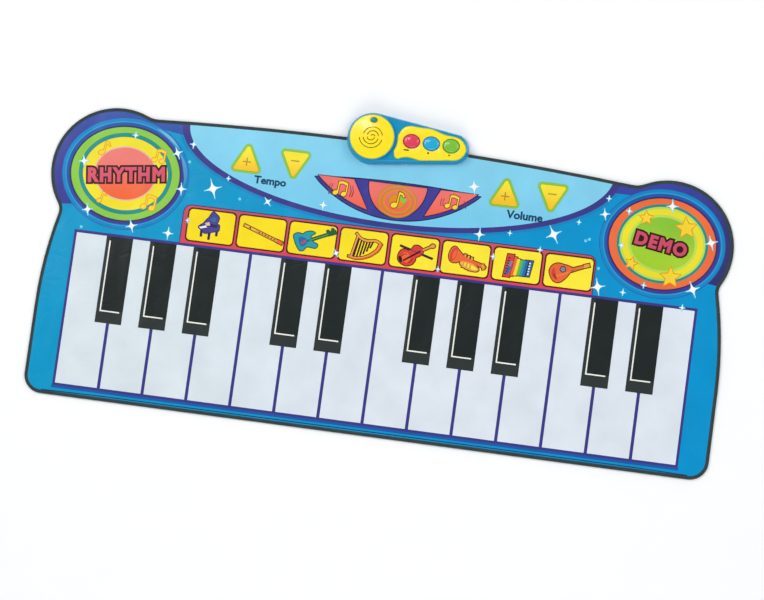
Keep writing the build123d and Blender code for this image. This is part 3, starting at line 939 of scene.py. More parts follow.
@dataclass
class Panel:
    """A flat part of the mat, cut along every printed outline so that each colour has a true edge.

    Attributes:
        node: The CAD node that it stands for.
        body: The body that it moves with.
        slot: Its material slot; not used.
        finish: The layer's own finish.
        relief: How the mat lies.
        bottom: The height of its flat underside, or none when the underside follows the top.
        thickness: The sheet's thickness where the underside follows the top.
        top: The height of its upper face before the relief.
        step: The widest spacing of its points.
    """

    node: str
    body: str
    slot: str
    finish: Finish
    relief: Relief
    bottom: float | None = None
    thickness: float = 0.5
    top: float = COVER_TOP
    step: float = 13.0
    ink_lift: float = 0.07
    ink_sink: float = 0.03
    loops: list[Loop] = field(default_factory=list)

    def build(self, artwork: list[Ink]) -> list[bpy.types.Object]:
        """Makes the vinyl and the prints on it.

        Args:
            artwork: Every printed shape of the mat, lowest first.

        Returns:
            The vinyl piece, then its prints.
        """
        self.loops = plan_of(self.node)
        inks = [ink for ink in artwork if self.meets(ink)]
        xy, tri, label = self.cut(inks)
        top = self.top + self.relief.height(xy)
        under = top - self.thickness if self.bottom is None else np.full(len(xy), self.bottom)
        points, faces, _ = slab(xy, tri, top, under)
        vinyl = make_piece(self.node + "_vinyl", points, faces, [self.finish], self.body)
        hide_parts(self.node)
        pieces = [vinyl]
        for group in dict.fromkeys(ink.group for ink in inks):
            members = [i for i, ink in enumerate(inks) if ink.group == group and (label == i).any()]
            chosen = np.isin(label, members)
            if not chosen.any():
                continue
            hues = list(dict.fromkeys(inks[i].hue for i in members))
            points, faces, owner = slab(xy, tri[chosen], top + self.ink_lift, top - self.ink_sink)
            hue_of = np.array([hues.index(inks[i].hue) for i in label[chosen]])
            pieces.append(make_piece(f"{self.node}_{group}", points, faces, [h.finish for h in hues],
                                     self.body, picks=hue_of[owner]))
        return pieces

    def meets(self, ink: Ink) -> bool:
        """Whether a print's box overlaps this part's box.

        Args:
            ink: The print.

        Returns:
            True when the two boxes overlap.
        """
        low, high = self.loops[0].min(0), self.loops[0].max(0)
        for loop in self.loops[1:]:
            low, high = np.minimum(low, loop.min(0)), np.maximum(high, loop.max(0))
        return any(((loop.max(0) > low) & (loop.min(0) < high)).all() for loop in ink.loops)

    def cut(self, inks: list[Ink]) -> tuple[Array, Array, Array]:
        """Fills the plan with triangles that keep every outline as an edge.

        The corners are the outlines' points and a staggered lattice between them, joined by a
        constrained Delaunay triangulation. A triangle belongs to the last print that is round its
        middle.

        Args:
            inks: The prints, lowest first.

        Returns:
            Plan points, triangles, and for each triangle the number of its print or -1.
        """
        outlines = [spaced(loop, self.step) for loop in self.loops]
        outlines += [spaced(loop, self.step) for ink in inks for loop in ink.loops]
        line = np.concatenate(outlines)
        links, first = [], 0
        for outline in outlines:
            ring = np.arange(len(outline))
            links.append(np.stack([ring, (ring + 1) % len(outline)], 1) + first)
            first += len(outline)
        points = np.concatenate([line, self.lattice(line)])
        made = delaunay_2d_cdt([Vector(p) for p in points], np.concatenate(links).tolist(), [], 0, 1e-4,
                               False)
        xy, tri = np.array([v[:] for v in made[0]]), np.array(made[2])
        a, b, c = (xy[tri[:, k]] for k in range(3))
        double = (b[:, 0] - a[:, 0]) * (c[:, 1] - a[:, 1]) - (c[:, 0] - a[:, 0]) * (b[:, 1] - a[:, 1])
        tri = np.where(double[:, None] < 0, tri[:, ::-1], tri)[np.abs(double) > 1e-5]
        middle = xy[tri].mean(1)
        inside = turns_round(middle, self.loops) > 0
        tri, middle = tri[inside], middle[inside]
        label = np.full(len(tri), -1)
        for number, ink in enumerate(inks):
            label[turns_round(middle, ink.loops) != 0] = number
        return xy, tri, label

    def lattice(self, line: Array) -> Array:
        """Staggered points a step apart over the plan, none in a cell next to an outline's point.

        Args:
            line: The outlines' points.

        Returns:
            The lattice points.
        """
        low, high = line.min(0), line.max(0)
        rows = np.arange(low[1], high[1], self.step * 0.87)
        across = np.arange(low[0], high[0], self.step)
        grid = np.stack(np.meshgrid(across, rows), -1)
        grid[1::2, :, 0] += self.step / 2
        grid = grid.reshape(-1, 2)
        cell = self.step / 2.2
        spread = np.stack(np.meshgrid([-1, 0, 1], [-1, 0, 1]), -1).reshape(-1, 2)
        taken = (np.floor(line / cell).astype(int)[:, None] + spread[None]).reshape(-1, 2)
        code = taken @ (100_003, 1)
        return grid[~np.isin(np.floor(grid / cell).astype(int) @ (100_003, 1), code)]


# ------------------------------------------------------------------ the printed artwork

def centre_of(node: str) -> tuple[float, float, float, float]:
    """A node's middle and half sizes seen from above, in plan millimetres.

    Args:
        node: The CAD node.

    Returns:
        Centre across and along, then half its width and half its depth.
    """
    low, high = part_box(node)
    middle, half = (low + high) / 2 / MM, (high - low) / 2 / MM
    return middle.x, middle.y - FIELD_CENTRE_Y, half.x, half.y


INSTRUMENTS = ("piano", "flute", "guitar", "harp", "violin", "trumpet", "accordion", "mandolin")
LENS_PADS = ("beat_pad", "mode_pad", "melody_pad")
TRIANGLES = ("tempo_up_pad", "tempo_down_pad", "volume_up_pad", "volume_down_pad")
TWINKLES = (  # across, along, reach and turn of each
    (-695, 473, 10, 0), (-578, 440, 16, 25), (-539, 468, 11, 0), (-822, 389, 16, 10), (-555, 347, 16, 5),
    (-794, 263, 16, 12), (-672, 234, 17, 18), (-573, 227, 16, 0), (-472, 358, 26, 20), (-435, 390, 7, 0),
    (-324, 342, 13, 40), (-178, 352, 14, 0), (-526, 267, 7, 0), (-127, 231, 11, 30), (207, 449, 20, 10),
    (428, 351, 24, 30), (237, 327, 16, 0), (315, 340, 7, 0), (489, 391, 7, 0), (553, 420, 15, 12),
    (280, 274, 8, 0), (398, 307, 8, 0), (142, 223, 7, 0), (723, 462, 18, 5), (614, 436, 9, 0),
    (833, 380, 19, 20), (605, 345, 9, 0), (801, 254, 21, 25), (558, 230, 22, 15), (624, 224, 9, 0),
    (780, 204, 9, 0), (558, 462, 8, 0), (675, 249, 8, 0),
)


@dataclass
class Artwork:
    """Everything printed on the mat, with the painted highlights and shade drawn among the prints, lowest
    print first.

    The ground is printed round the playing zones; the figures are printed over ground and zones alike.

    Attributes:
        inks: The printed shapes of the layer that is being drawn.
    """

    inks: list[Ink] = field(default_factory=list)

    def put(self, group: str, hue: Hue, *loops: Loop) -> None:
        """Adds one printed shape."""
        self.inks.append(Ink(group, hue, list(loops)))

    def figure(self, group: str, edge: Hue, margin: float, shapes: list[tuple[Hue, Loop]],
               at: tuple[float, float] = (0.0, 0.0)) -> None:
        """Adds a drawing: its outline colour round all of its shapes, then the shapes.

        Args:
            group: The print that it belongs to.
            edge: The outline's colour.
            margin: The outline's width.
            shapes: Colours and outlines, lowest first.
            at: Where the drawing's own origin is.
        """
        for _, loop in shapes:
            outward = margin if area_of(loop) > 0 else -margin
            self.put(group, edge, grown(loop, outward) + at)
        for hue, loop in shapes:
            self.put(group, hue, loop + at)

    def lobes(self) -> None:
        """The indigo crowns over the two lobes and the rings round the two discs, with two painted highlight
        crescents on the left disc's ring.
        """
        self.half_oval("arc_shade", Hue.EDGE_BLUE, 589, 214)
        left = [(-930, 263), (-839, 272), (-708, 369), (-625, 497), (-566, 489), (-535, 486), (-535, 600),
                (-930, 600)]
        right = [(930, 600), (545, 600), (545, 478), (625, 477), (709, 362), (836, 274), (930, 262)]
        self.put("left_crown", Hue.INDIGO_LEFT, np.array(left, float))
        self.put("right_crown", Hue.INDIGO_RIGHT, np.array(right, float))
        for node, side in (("rhythm_pad", "left"), ("demo_pad", "right")):
            x, y, rx, ry = centre_of(node)
            rings = (("line", Hue.DEEP_BLUE, 25, 0), ("halo", Hue.EDGE_BLUE, 23.4, 0),
                     ("gleam", Hue.GLOW_BLUE, 15.5, 0),
                     ("band", Hue.DEEP_BLUE, 12.5, 0), ("ring", Hue.INDIGO, 8, 2.5), ("edge", Hue.NAVY, 3, 0))
            for name, hue, margin, shift in rings:
                loop = ellipse(x + shift, y - shift, rx + margin, ry + margin, 96)
                self.put(f"{side}_{name}", hue, loop)
        # Painted highlight: two pale blue crescents on the left disc's ring stand in for a lamp's glare on
        # the vinyl.
        x, y, rx, ry = centre_of("rhythm_pad")
        for first, last, margin, wide in ((34, 66, 18, 7), (-4, 30, 15, 10)):
            sweep = arc(x, y, rx + margin, ry + margin, first, last, 20)
            lens = np.sin(np.linspace(0, math.pi, 20))[:, None] * right_of(sweep, closed=False) * wide / 2
            self.put("left_painted_glare", Hue.GLARE, np.concatenate([sweep + lens, (sweep - lens)[::-1]]))

    def half_oval(self, name: str, hue: Hue, rx: float, ry: float) -> None:
        """One layer of the half oval behind the controls, open towards the far edge."""
        curve = arc(5, 520, rx, ry, 180, 360, 72)
        self.put(name, hue, np.concatenate([curve, [(5 + rx, 600), (5 - rx, 600)]]))

    def sky(self) -> None:
        """The pale blue half oval behind the controls, edged by an indigo arc."""
        self.half_oval("arc_band", Hue.FRAME_VIOLET, 580, 207)
        self.half_oval("sky", Hue.SKY, 560, 193)

    def lens(self) -> None:
        """The indigo lens that holds the three mode pads, with a navy outline."""
        low = arc(9, 651, 314, 314, 226.3, 313.7, 40)
        across = np.linspace(low[-1, 0], low[0, 0], 24)[1:-1]
        high = np.stack([across, low[0, 1] + 10 * (1 - ((across - 9) / 217) ** 2)], 1)
        body = np.concatenate([low, high])
        self.put("lens_edge", Hue.NAVY, grown(body, 3.2))
        self.put("lens", Hue.INDIGO, body)
        for node in LENS_PADS:
            self.put("lens_cells", Hue.NAVY, grown(max(plan_of(node), key=area_of), 3.2))

    def lens_signs(self) -> None:
        """The ringed note in the middle of the lens and the shaking notes at its ends."""
        x, y = 13.0, 386.0
        for hue, rx, ry in ((Hue.OLIVE, 52, 44), (Hue.AMBER, 49.5, 41.5), (Hue.MELON, 46, 38.5),
                            (Hue.OLIVE, 41, 34),
                            (Hue.AMBER, 38, 31.5), (Hue.MELON, 33, 27), (Hue.OLIVE, 24, 20), (Hue.AMBER, 21,
                                                                                              17.5)):
            self.put("rings", hue, ellipse(x, y, rx, ry, 56))
        self.put("rings", Hue.GLOW_GREEN, smooth([(x + 2, y + 26), (x + 14, y + 20), (x + 24, y + 4),
                                                  (x + 12, y - 2)]))
        self.note("note", x, y + 4, 40, Hue.INSTRUMENT_BROWN)
        self.pair("notes", -139, 401, 33, Hue.INSTRUMENT_BROWN)
        self.pair("notes", 155, 402, 31, Hue.INSTRUMENT_BROWN)
        for way in (-1, 1):
            for gap in (0, 6):
                span = (150, 210) if way < 0 else (-30, 30)
                curve = arc(160 + way * (10 + gap), 398, 18, 20, *span, 12)
                self.put("waves", Hue.SMOKE, stroke(curve, 1.8))
                bar = [(-137 + way * (24 + gap), 382), (-137 + way * (27 + gap), 396),
                       (-137 + way * (23 + gap), 412)]
                self.put("waves", Hue.SMOKE, stroke(bar, 3.0, 1.6))

    def band(self) -> None:
        """The red band behind the instrument boxes, and each box's maroon outline."""
        band = np.concatenate([box(-539, 545, 207, 308)[:2],
                               rounded(box(-539, 545, 207, 308), 22)[-12:]])
        self.put("band_edge", Hue.NAVY, grown(band, 2.2))
        self.put("band", Hue.BAND_RED, band)
        for instrument in INSTRUMENTS:
            x, y, rx, ry = centre_of(instrument + "_pad")
            edge = rounded(box(x - rx - 4, x + rx + 4, y - ry - 4, y + ry + 4), 14)
            self.put("box_edges", Hue.MAROON, edge)

    def field(self) -> None:
        """The violet frame and dividers of the keys, and along the mat's foot a painted shade band, a navy
        line and a painted sheen line where the edge rolls down to the binding.
        """
        self.put("frame", Hue.FRAME_VIOLET, box(-820, 820, -206.5, 207))
        # Painted shade and sheen: the darker band and the lighter line stand in for the light on the edge's
        # roll.
        self.put("foot", Hue.DEEP_BLUE, box(-822, 822, -213, -206.5))
        self.put("foot", Hue.NAVY, stroke([(-846, -222), (-700, -219.6), (0, -219), (700, -219.6),
                                           (846, -222)], 2.4))
        self.put("foot", Hue.GLOW_BLUE, stroke([(-700, -225.5), (0, -224.5), (700, -225.5)], 4))

    def black_keys(self) -> None:
        """Each black key's darker face and the white line down its left side and along its foot."""
        for number in range(1, 11):
            x, y, rx, ry = centre_of(f"black_key_{number:02d}")
            left, right, low, high = x - rx, x + rx, y - ry, y + ry
            self.put("face", Hue.KEY_BLACK, box(left + 11, right, low + 33, high))
            self.put("line", Hue.KEY_LINE, box(left + 8.5, left + 12, low + 29.5, high - 11))
            self.put("line", Hue.KEY_LINE, box(left + 8.5, right - 9, low + 29.5, low + 33))

    def glows(self) -> None:
        """The green glow round the four triangles."""
        for node in TRIANGLES:
            plan = max(plan_of(node), key=area_of)
            self.put("glow_outer", Hue.GLOW_SOFT, grown(plan, 7.5))
            self.put("glow", Hue.GLOW_GREEN, grown(plan, 5.5))

    def signs(self) -> None:
        """The signs on the four triangles and the two words under them."""
        for node in TRIANGLES:
            x, y, _, ry = centre_of(node)
            up = "up" in node
            y += -ry * 0.28 if up else ry * 0.28
            self.put("sign", Hue.OLIVE, box(x - 11, x + 11, y - 1.6, y + 1.6))
            if up:
                self.put("sign", Hue.OLIVE, box(x - 1.6, x + 1.6, y - 11, y + 11))
        for text, x, y, width, tall in (("Tempo", -325, 394, 83, 25), ("Volume", 347, 389, 92, 20)):
            self.put("words", Hue.INK_BLUE, *(grown(loop, 1.15) for loop in lettering(text, x, y, width,
                                                                                      tall)))

    def discs(self) -> None:
        """The coloured rings of the two big discs, their words, notes and stars."""
        x, y, _, _ = centre_of("rhythm_pad")
        for name, hue, rx, ry in (("teal", Hue.RING_TEAL, 124, 108), ("yellow", Hue.RING_YELLOW, 113, 97),
                                  ("beige", Hue.BEIGE, 84, 73), ("coral", Hue.CORAL_DISC, 80, 69)):
            self.put(name, hue, ellipse(x, y, rx, ry, 90))
        self.note("notes", -773, 430, 34)
        self.pair("notes", -626, 426, 30)
        self.note("notes", -762, 300, 26)
        self.pair("notes", -636, 301, 34)
        self.word("RHYTHM", x + 3, y - 2, 200, 35, 7.5)
        x, y, _, _ = centre_of("demo_pad")
        for name, hue, rx, ry in (("teal", Hue.RING_TEAL, 118, 103), ("lime_edge", Hue.PALE_LIME, 111, 96),
                                  ("yellow", Hue.RING_YELLOW, 105, 90), ("pale", Hue.PALE_LIME, 90, 76),
                                  ("lime", Hue.LIME_DISC, 83, 69)):
            self.put(name, hue, ellipse(x, y, rx, ry, 90))
        for place in ((765, 410, 28, 10), (740, 278, 27, 4), (660, 424, 18, 6), (636, 302, 16, -12)):
            self.figure("stars", Hue.AMBER, 2.4, [(Hue.NOTE_YELLOW, star(*place[:3], place[3]))])
        self.word("DEMO", x - 3, y - 1, 132, 31, -9)

    def word(self, text: str, x: float, y: float, width: float, tall: float, turn: float) -> None:
        """A bold word in rose over a broad claret edge.

        Args:
            text: The word.
            x: Its centre across.
            y: Its centre along.
            width: Its width.
            tall: Its height.
            turn: Its slope in degrees.
        """
        loops = lettering(text, x, y, width, tall, turn, spacing=1.22)
        for loop in loops:
            if area_of(loop) > 0:
                self.put("word_edge", Hue.CLARET, grown(loop, 7.5))
        self.put("word", Hue.ROSE, *(grown(loop, 2.4) for loop in loops))

    def note(self, group: str, x: float, y: float, tall: float, edge: Hue = Hue.AMBER) -> None:
        """A quaver: an oval head at the foot of a stem that carries a flag.

        Args:
            group: The print that it belongs to.
            x: Its centre across.
            y: Its centre along.
            tall: Its height.
            edge: Its outline's colour.
        """
        s = tall / 40
        shapes = [
            (Hue.NOTE_YELLOW, ellipse(-7 * s, -15 * s, 9 * s, 7 * s, 20, 20)),
            (Hue.NOTE_YELLOW, stroke([(0, -14 * s), (4 * s, 20 * s)], 3.4 * s)),
            (Hue.NOTE_YELLOW, stroke([(3 * s, 18 * s), (12 * s, 16 * s), (17 * s, 8 * s)], 7 * s, 3 * s)),
        ]
        self.figure(group, edge, 1.8, shapes, (x, y))

    def pair(self, group: str, x: float, y: float, tall: float, edge: Hue = Hue.AMBER) -> None:
        """Two quavers joined by a beam.

        Args:
            group: The print that it belongs to.
            x: Its centre across.
            y: Its centre along.
            tall: Its height.
            edge: Its outline's colour.
        """
        s = tall / 36
        shapes = [
            (Hue.NOTE_YELLOW, ellipse(-13 * s, -13 * s, 8 * s, 6.4 * s, 20, 20)),
            (Hue.NOTE_YELLOW, ellipse(11 * s, -15 * s, 8 * s, 6.4 * s, 20, 20)),
            (Hue.NOTE_YELLOW, stroke([(-7 * s, -12 * s), (-5 * s, 16 * s)], 3.2 * s)),
            (Hue.NOTE_YELLOW, stroke([(17 * s, -14 * s), (19 * s, 14 * s)], 3.2 * s)),
            (Hue.NOTE_YELLOW, stroke([(-6 * s, 16 * s), (6 * s, 18 * s), (20 * s, 13 * s)], 7 * s)),
        ]
        self.figure(group, edge, 1.8, shapes, (x, y))

    def twinkles(self) -> None:
        """White four-pointed twinkles with a cyan glow, and a few plain dots."""
        for x, y, radius, turn in TWINKLES:
            self.put("glitter_glow", Hue.GLITTER_CYAN, grown(sparkle(x, y, radius * 1.1, turn), 1.6))
            self.put("glitter", Hue.GLITTER_WHITE, sparkle(x, y, radius * 1.3, turn),
                     ellipse(x, y, radius * 0.2, radius * 0.2, 12))
        for x, y in ((-543, 421), (-804, 215), (-398, 340), (521, 350), (512, 345), (554, 278), (455, 440)):
            self.put("glitter_glow", Hue.GLITTER_CYAN, ellipse(x, y, 4, 4, 12))

    def instruments(self) -> None:
        """The eight instruments, each drawn about its box's centre."""
        for name, drawing in (
            ("piano", self.piano()), ("flute", self.flute()), ("guitar", self.guitar()), ("harp",
                                                                                          self.harp()),
            ("violin", self.violin()), ("trumpet", self.trumpet()), ("accordion", self.accordion()),
            ("mandolin", self.mandolin()),
        ):
            edge, margin, shapes = drawing
            x, y, _, _ = centre_of(name + "_pad")
            self.figure("picture", edge, margin + 1.0, shapes, (x, y))

    def piano(self) -> tuple[Hue, float, list[tuple[Hue, Loop]]]:
        """A grand piano with its lid up: outline colour, outline width and shapes.

        Returns:
            Outline colour, outline width, and the shapes with their colours, lowest first.
        """
        legs = [(Hue.NAVY, stroke([(x, y), (x, y - 17)], 3.0, 2.0)) for x,
                y in ((-23, -10), (-2, -16), (17, -4))]
        return Hue.NAVY, 1.3, legs + [
            (Hue.INSTRUMENT_VIOLET, smooth([(-18, 8), (-8, 24), (0, 38), (9, 35), (18, 26), (15, 12),
                                            (0, 6)])),
            (Hue.INSTRUMENT_BLUE, smooth([(-4, 18), (4, 26), (10, 22), (8, 14)])),
            (Hue.INSTRUMENT_VIOLET, rounded(np.array([(-33, -4), (-14, -19), (22, -8), (22, 6), (8, 11),
                                                      (-18, 9)], float), 3)),
            (Hue.NAVY, np.array([(-8, 0), (16, -1), (18, 6), (-2, 8)], float)),
            (Hue.KEY_LINE, np.array([(-33, -4), (-29, -8), (-12, -3), (-16, 2)], float) + (2, 0)),
            (Hue.BEIGE, np.array([(-17, 8), (-12, 1), (-2, 3), (-6, 12)], float)),
        ]

    def flute(self) -> tuple[Hue, float, list[tuple[Hue, Loop]]]:
        """A flute lying aslant, with its keys.

        Returns:
            Outline colour, outline width, and the shapes with their colours, lowest first.
        """
        start, way = np.array([-48.0, 16.0]), np.array([105.0, -36.0])
        keys = [(Hue.INSTRUMENT_BROWN, ellipse(*(start + way * share), 2.1, 1.7, 10))
                for share in (0.4, 0.48, 0.56, 0.64, 0.72, 0.8)]
        return Hue.INSTRUMENT_BROWN, 1.1, [
            (Hue.INSTRUMENT_TAN, stroke([start, start + way], 6.5)),
            (Hue.NOTE_YELLOW, stroke([start + way * 0.05, start + way * 0.3], 2.6)),
            (Hue.INSTRUMENT_ORANGE, stroke([start + way * 0.86, start + way * 1.01], 8.5)),
            (Hue.INSTRUMENT_BROWN, ellipse(*(start + way * 0.16), 3.0, 1.9, 12, -19)),
        ] + keys

    def guitar(self) -> tuple[Hue, float, list[tuple[Hue, Loop]]]:
        """An electric guitar with two horns, pointing up to the right.

        Returns:
            Outline colour, outline width, and the shapes with their colours, lowest first.
        """
        outline = [(-49, 6), (-38, 13), (-27, 11), (-18, 18), (-4, 21), (5, 18), (-3, 11), (-5, 4), (3, -6),
                   (15, -11),
                   (12, -20), (0, -20), (-12, -20), (-20, -30), (-29, -31), (-37, -22), (-44, -10)]
        pegs = [(Hue.INSTRUMENT_GREEN, ellipse(38 + 6 * k, 27 + 3 * k - 9 * (k % 2), 2.6, 2.2,
                                               10)) for k in range(4)]
        return Hue.INSTRUMENT_GREEN, 1.6, pegs + [
            (Hue.INSTRUMENT_TEAL, smooth(outline, 4)),
            (Hue.INSTRUMENT_BLUE, smooth([(-36, 0), (-24, 4), (-12, -4), (-16, -16), (-28, -20)], 5)),
            (Hue.INSTRUMENT_RED, stroke([(-27, -13), (-17, -5)], 5)),
            (Hue.INSTRUMENT_GREEN, stroke([(-12, -5), (44, 21)], 5.2)),
            (Hue.INSTRUMENT_LEAF, stroke([(-8, -3), (40, 19)], 1.6)),
            (Hue.INSTRUMENT_GREEN, stroke([(40, 20), (58, 27)], 8.5)),
        ]

    def harp(self) -> tuple[Hue, float, list[tuple[Hue, Loop]]]:
        """A harp with a curved neck, a straight pillar and seven strings.

        Returns:
            Outline colour, outline width, and the shapes with their colours, lowest first.
        """
        neck = [(-22, 32), (-9, 20), (8, 15), (30, 18), (44, 12)]
        sound_box = [(46, 12), (38, -8), (20, -23), (2, -31), (-16, -34), (-36, -30)]
        strings = [(Hue.INSTRUMENT_BROWN, stroke([(-12 + 7.5 * k, 22 - 1.2 * k),
                                                  (-21 + 8 * k, -29 + 1.1 * k * k)], 0.8))
                   for k in range(7)]
        return Hue.INSTRUMENT_BROWN, 0.9, strings[:6] + [
            (Hue.INSTRUMENT_TAN, stroke([(-17, 24), (-28, -30)], 4.6)),
            (Hue.INSTRUMENT_TAN, stroke(smooth(neck + neck[-2:0:-1], 3)[:13], 5.5)),
            (Hue.INSTRUMENT_ORANGE, stroke(evenly(np.array(sound_box, float), 9), 9, 5)),
            (Hue.INSTRUMENT_TAN, stroke(evenly(np.array(sound_box, float) + (-1, 1), 9), 3.4, 2)),
        ]

    def violin(self) -> tuple[Hue, float, list[tuple[Hue, Loop]]]:
        """A violin leaning to the right with its bow across it.

        Returns:
            Outline colour, outline width, and the shapes with their colours, lowest first.
        """
        bow = [(-37, 14), (48, -10)]
        outline = [(-40, -8), (-34, 3), (-24, 6), (-15, 4), (-8, 9), (-2, 18), (10, 19), (21, 11), (22, 0),
                   (13, -8),
                   (6, -12), (5, -20), (-2, -31), (-16, -36), (-30, -32), (-40, -22)]
        return Hue.INSTRUMENT_BROWN, 1.4, [
            (Hue.INSTRUMENT_TAN, stroke([(12, 4), (44, 22)], 5)),
            (Hue.INSTRUMENT_TAN, ellipse(46, 23, 6, 5, 14)),
            (Hue.INSTRUMENT_RED, turned(smooth(outline, 4), 0)),
            (Hue.INSTRUMENT_ORANGE, smooth([(-28, -4), (-16, -3), (-8, -16), (-16, -28), (-28, -22)], 4)),
            (Hue.CLARET, stroke([(-26, -24), (16, 6)], 4.6)),
            (Hue.CLARET, stroke([(-31, -12), (-24, -6), (-18, -7)], 1.6)),
            (Hue.CLARET, stroke([(-12, -28), (-4, -22), (-2, -16)], 1.6)),
            (Hue.CLARET, ellipse(-34, -21, 4.5, 9, 16, 20)),
            (Hue.NAVY, stroke(bow, 1.6)),
        ]

    def trumpet(self) -> tuple[Hue, float, list[tuple[Hue, Loop]]]:
        """A trumpet with its bell up to the left, three valves and a looped tube.

        Returns:
            Outline colour, outline width, and the shapes with their colours, lowest first.
        """
        loop_tube = ellipse(12, -17, 27, 10, 30, -17)
        valves = [(Hue.INSTRUMENT_TAN, stroke([(-1 + 9 * k, 13 - 3 * k), (-5 + 9 * k, -22 - 3 * k)],
                                              5.4)) for k in range(3)]
        return Hue.INSTRUMENT_BROWN, 1.3, [
            (Hue.INSTRUMENT_TAN, loop_tube),
            (Hue.SIGNAL_YELLOW, ellipse(12, -17, 22, 5.5, 30, -17)),
            *valves,
            (Hue.INSTRUMENT_ORANGE, smooth([(-38, -10), (-44, 4), (-40, 22), (-30, 30), (-18, 20), (-4, 8),
                                            (16, 0), (52, -10),
                                            (50, -18), (14, -8), (-10, -6), (-24, -12)], 4)),
            (Hue.INSTRUMENT_RED, ellipse(-32, 9, 8, 19, 24, -14)),
            (Hue.INSTRUMENT_ORANGE, ellipse(-30, 9, 4.5, 13, 20, -14)),
            (Hue.INSTRUMENT_TAN, stroke([(46, -8), (50, -21)], 7)),
        ]

    def accordion(self) -> tuple[Hue, float, list[tuple[Hue, Loop]]]:
        """An accordion opened out: red keyboard side, bellows of three colours, dark bass side.

        Returns:
            Outline colour, outline width, and the shapes with their colours, lowest first.
        """
        def leaf(x0: float, x1: float, low: float, high: float) -> Loop:
            """One upright strip that leans to the right."""
            return np.array([(x0 - 3, low), (x1 - 3, low), (x1 + 3, high), (x0 + 3, high)], float)

        keys = [(Hue.NAVY, stroke([(-31 + 0.9 * k, -24 + 7 * k), (-24 + 0.9 * k, -24 + 7 * k)],
                                  3)) for k in range(7)]
        buttons = [(Hue.KEY_LINE, ellipse(31 + 0.6 * k, -18 + 7 * k, 2.3, 2.3, 10)) for k in range(5)]
        return Hue.INSTRUMENT_BROWN, 1.2, [
            (Hue.INSTRUMENT_RED, leaf(-30, -12, -32, 28)),
            (Hue.INSTRUMENT_BLUE, leaf(-26, -16, -24, -4)),
            (Hue.INSTRUMENT_TEAL, leaf(-20, -14, -2, 10)),
            *keys,
            (Hue.INSTRUMENT_ORANGE, leaf(-11, -4, -28, 22)),
            (Hue.NOTE_YELLOW, leaf(-4, 4, -26, 18)),
            (Hue.INSTRUMENT_LEAF, leaf(4, 12, -25, 16)),
            (Hue.INSTRUMENT_TEAL, leaf(12, 19, -25, 16)),
            (Hue.INSTRUMENT_BLUE, leaf(19, 38, -25, 17)),
            (Hue.NAVY, leaf(26, 29, -25, 17)),
            *buttons,
        ]

    def mandolin(self) -> tuple[Hue, float, list[tuple[Hue, Loop]]]:
        """A mandolin: a drop-shaped body, a round sound hole and a neck up to the right.

        Returns:
            Outline colour, outline width, and the shapes with their colours, lowest first.
        """
        body = [(-49, -4), (-44, 12), (-30, 20), (-12, 18), (8, 13), (6, 4), (-6, -16), (-22, -29),
                (-38, -25)]
        strings = [(Hue.INSTRUMENT_TAN, stroke([(-34, -17 + 2.5 * k), (50, 21 + 2.0 * k)],
                                               0.8)) for k in range(2)]
        return Hue.INSTRUMENT_BROWN, 1.4, [
            (Hue.INSTRUMENT_ORANGE, smooth(body, 5)),
            (Hue.INSTRUMENT_RED, smooth([(-44, -6), (-38, 8), (-34, -4), (-26, -22), (-36, -20)], 4)),
            (Hue.INSTRUMENT_ORANGE, stroke([(2, 7), (50, 24)], 6)),
            (Hue.INSTRUMENT_TAN, stroke([(38, 20), (52, 25)], 9)),
            (Hue.INSTRUMENT_BROWN, ellipse(-15, 6, 8.6, 8.6, 24)),
            (Hue.GREY, ellipse(-15, 6, 6.4, 6.4, 24)),
            *strings,
            (Hue.INSTRUMENT_BROWN, stroke([(-37, -10), (-30, -19)], 2.4)),
        ]

    def compose(self) -> tuple[list[Ink], list[Ink]]:
        """Draws the whole mat and returns the ground's and the figures' prints, each lowest first.

        Returns:
            The ground's prints, then the figures'.
        """
        for part in (self.lobes, self.sky, self.lens, self.band, self.field, self.glows):
            part()
        ground, self.inks = self.inks, []
        for part in (self.black_keys, self.signs, self.lens_signs, self.discs, self.instruments,
                     self.twinkles):
            part()
        return ground, self.inks


# ------------------------------------------------------------------ the mat

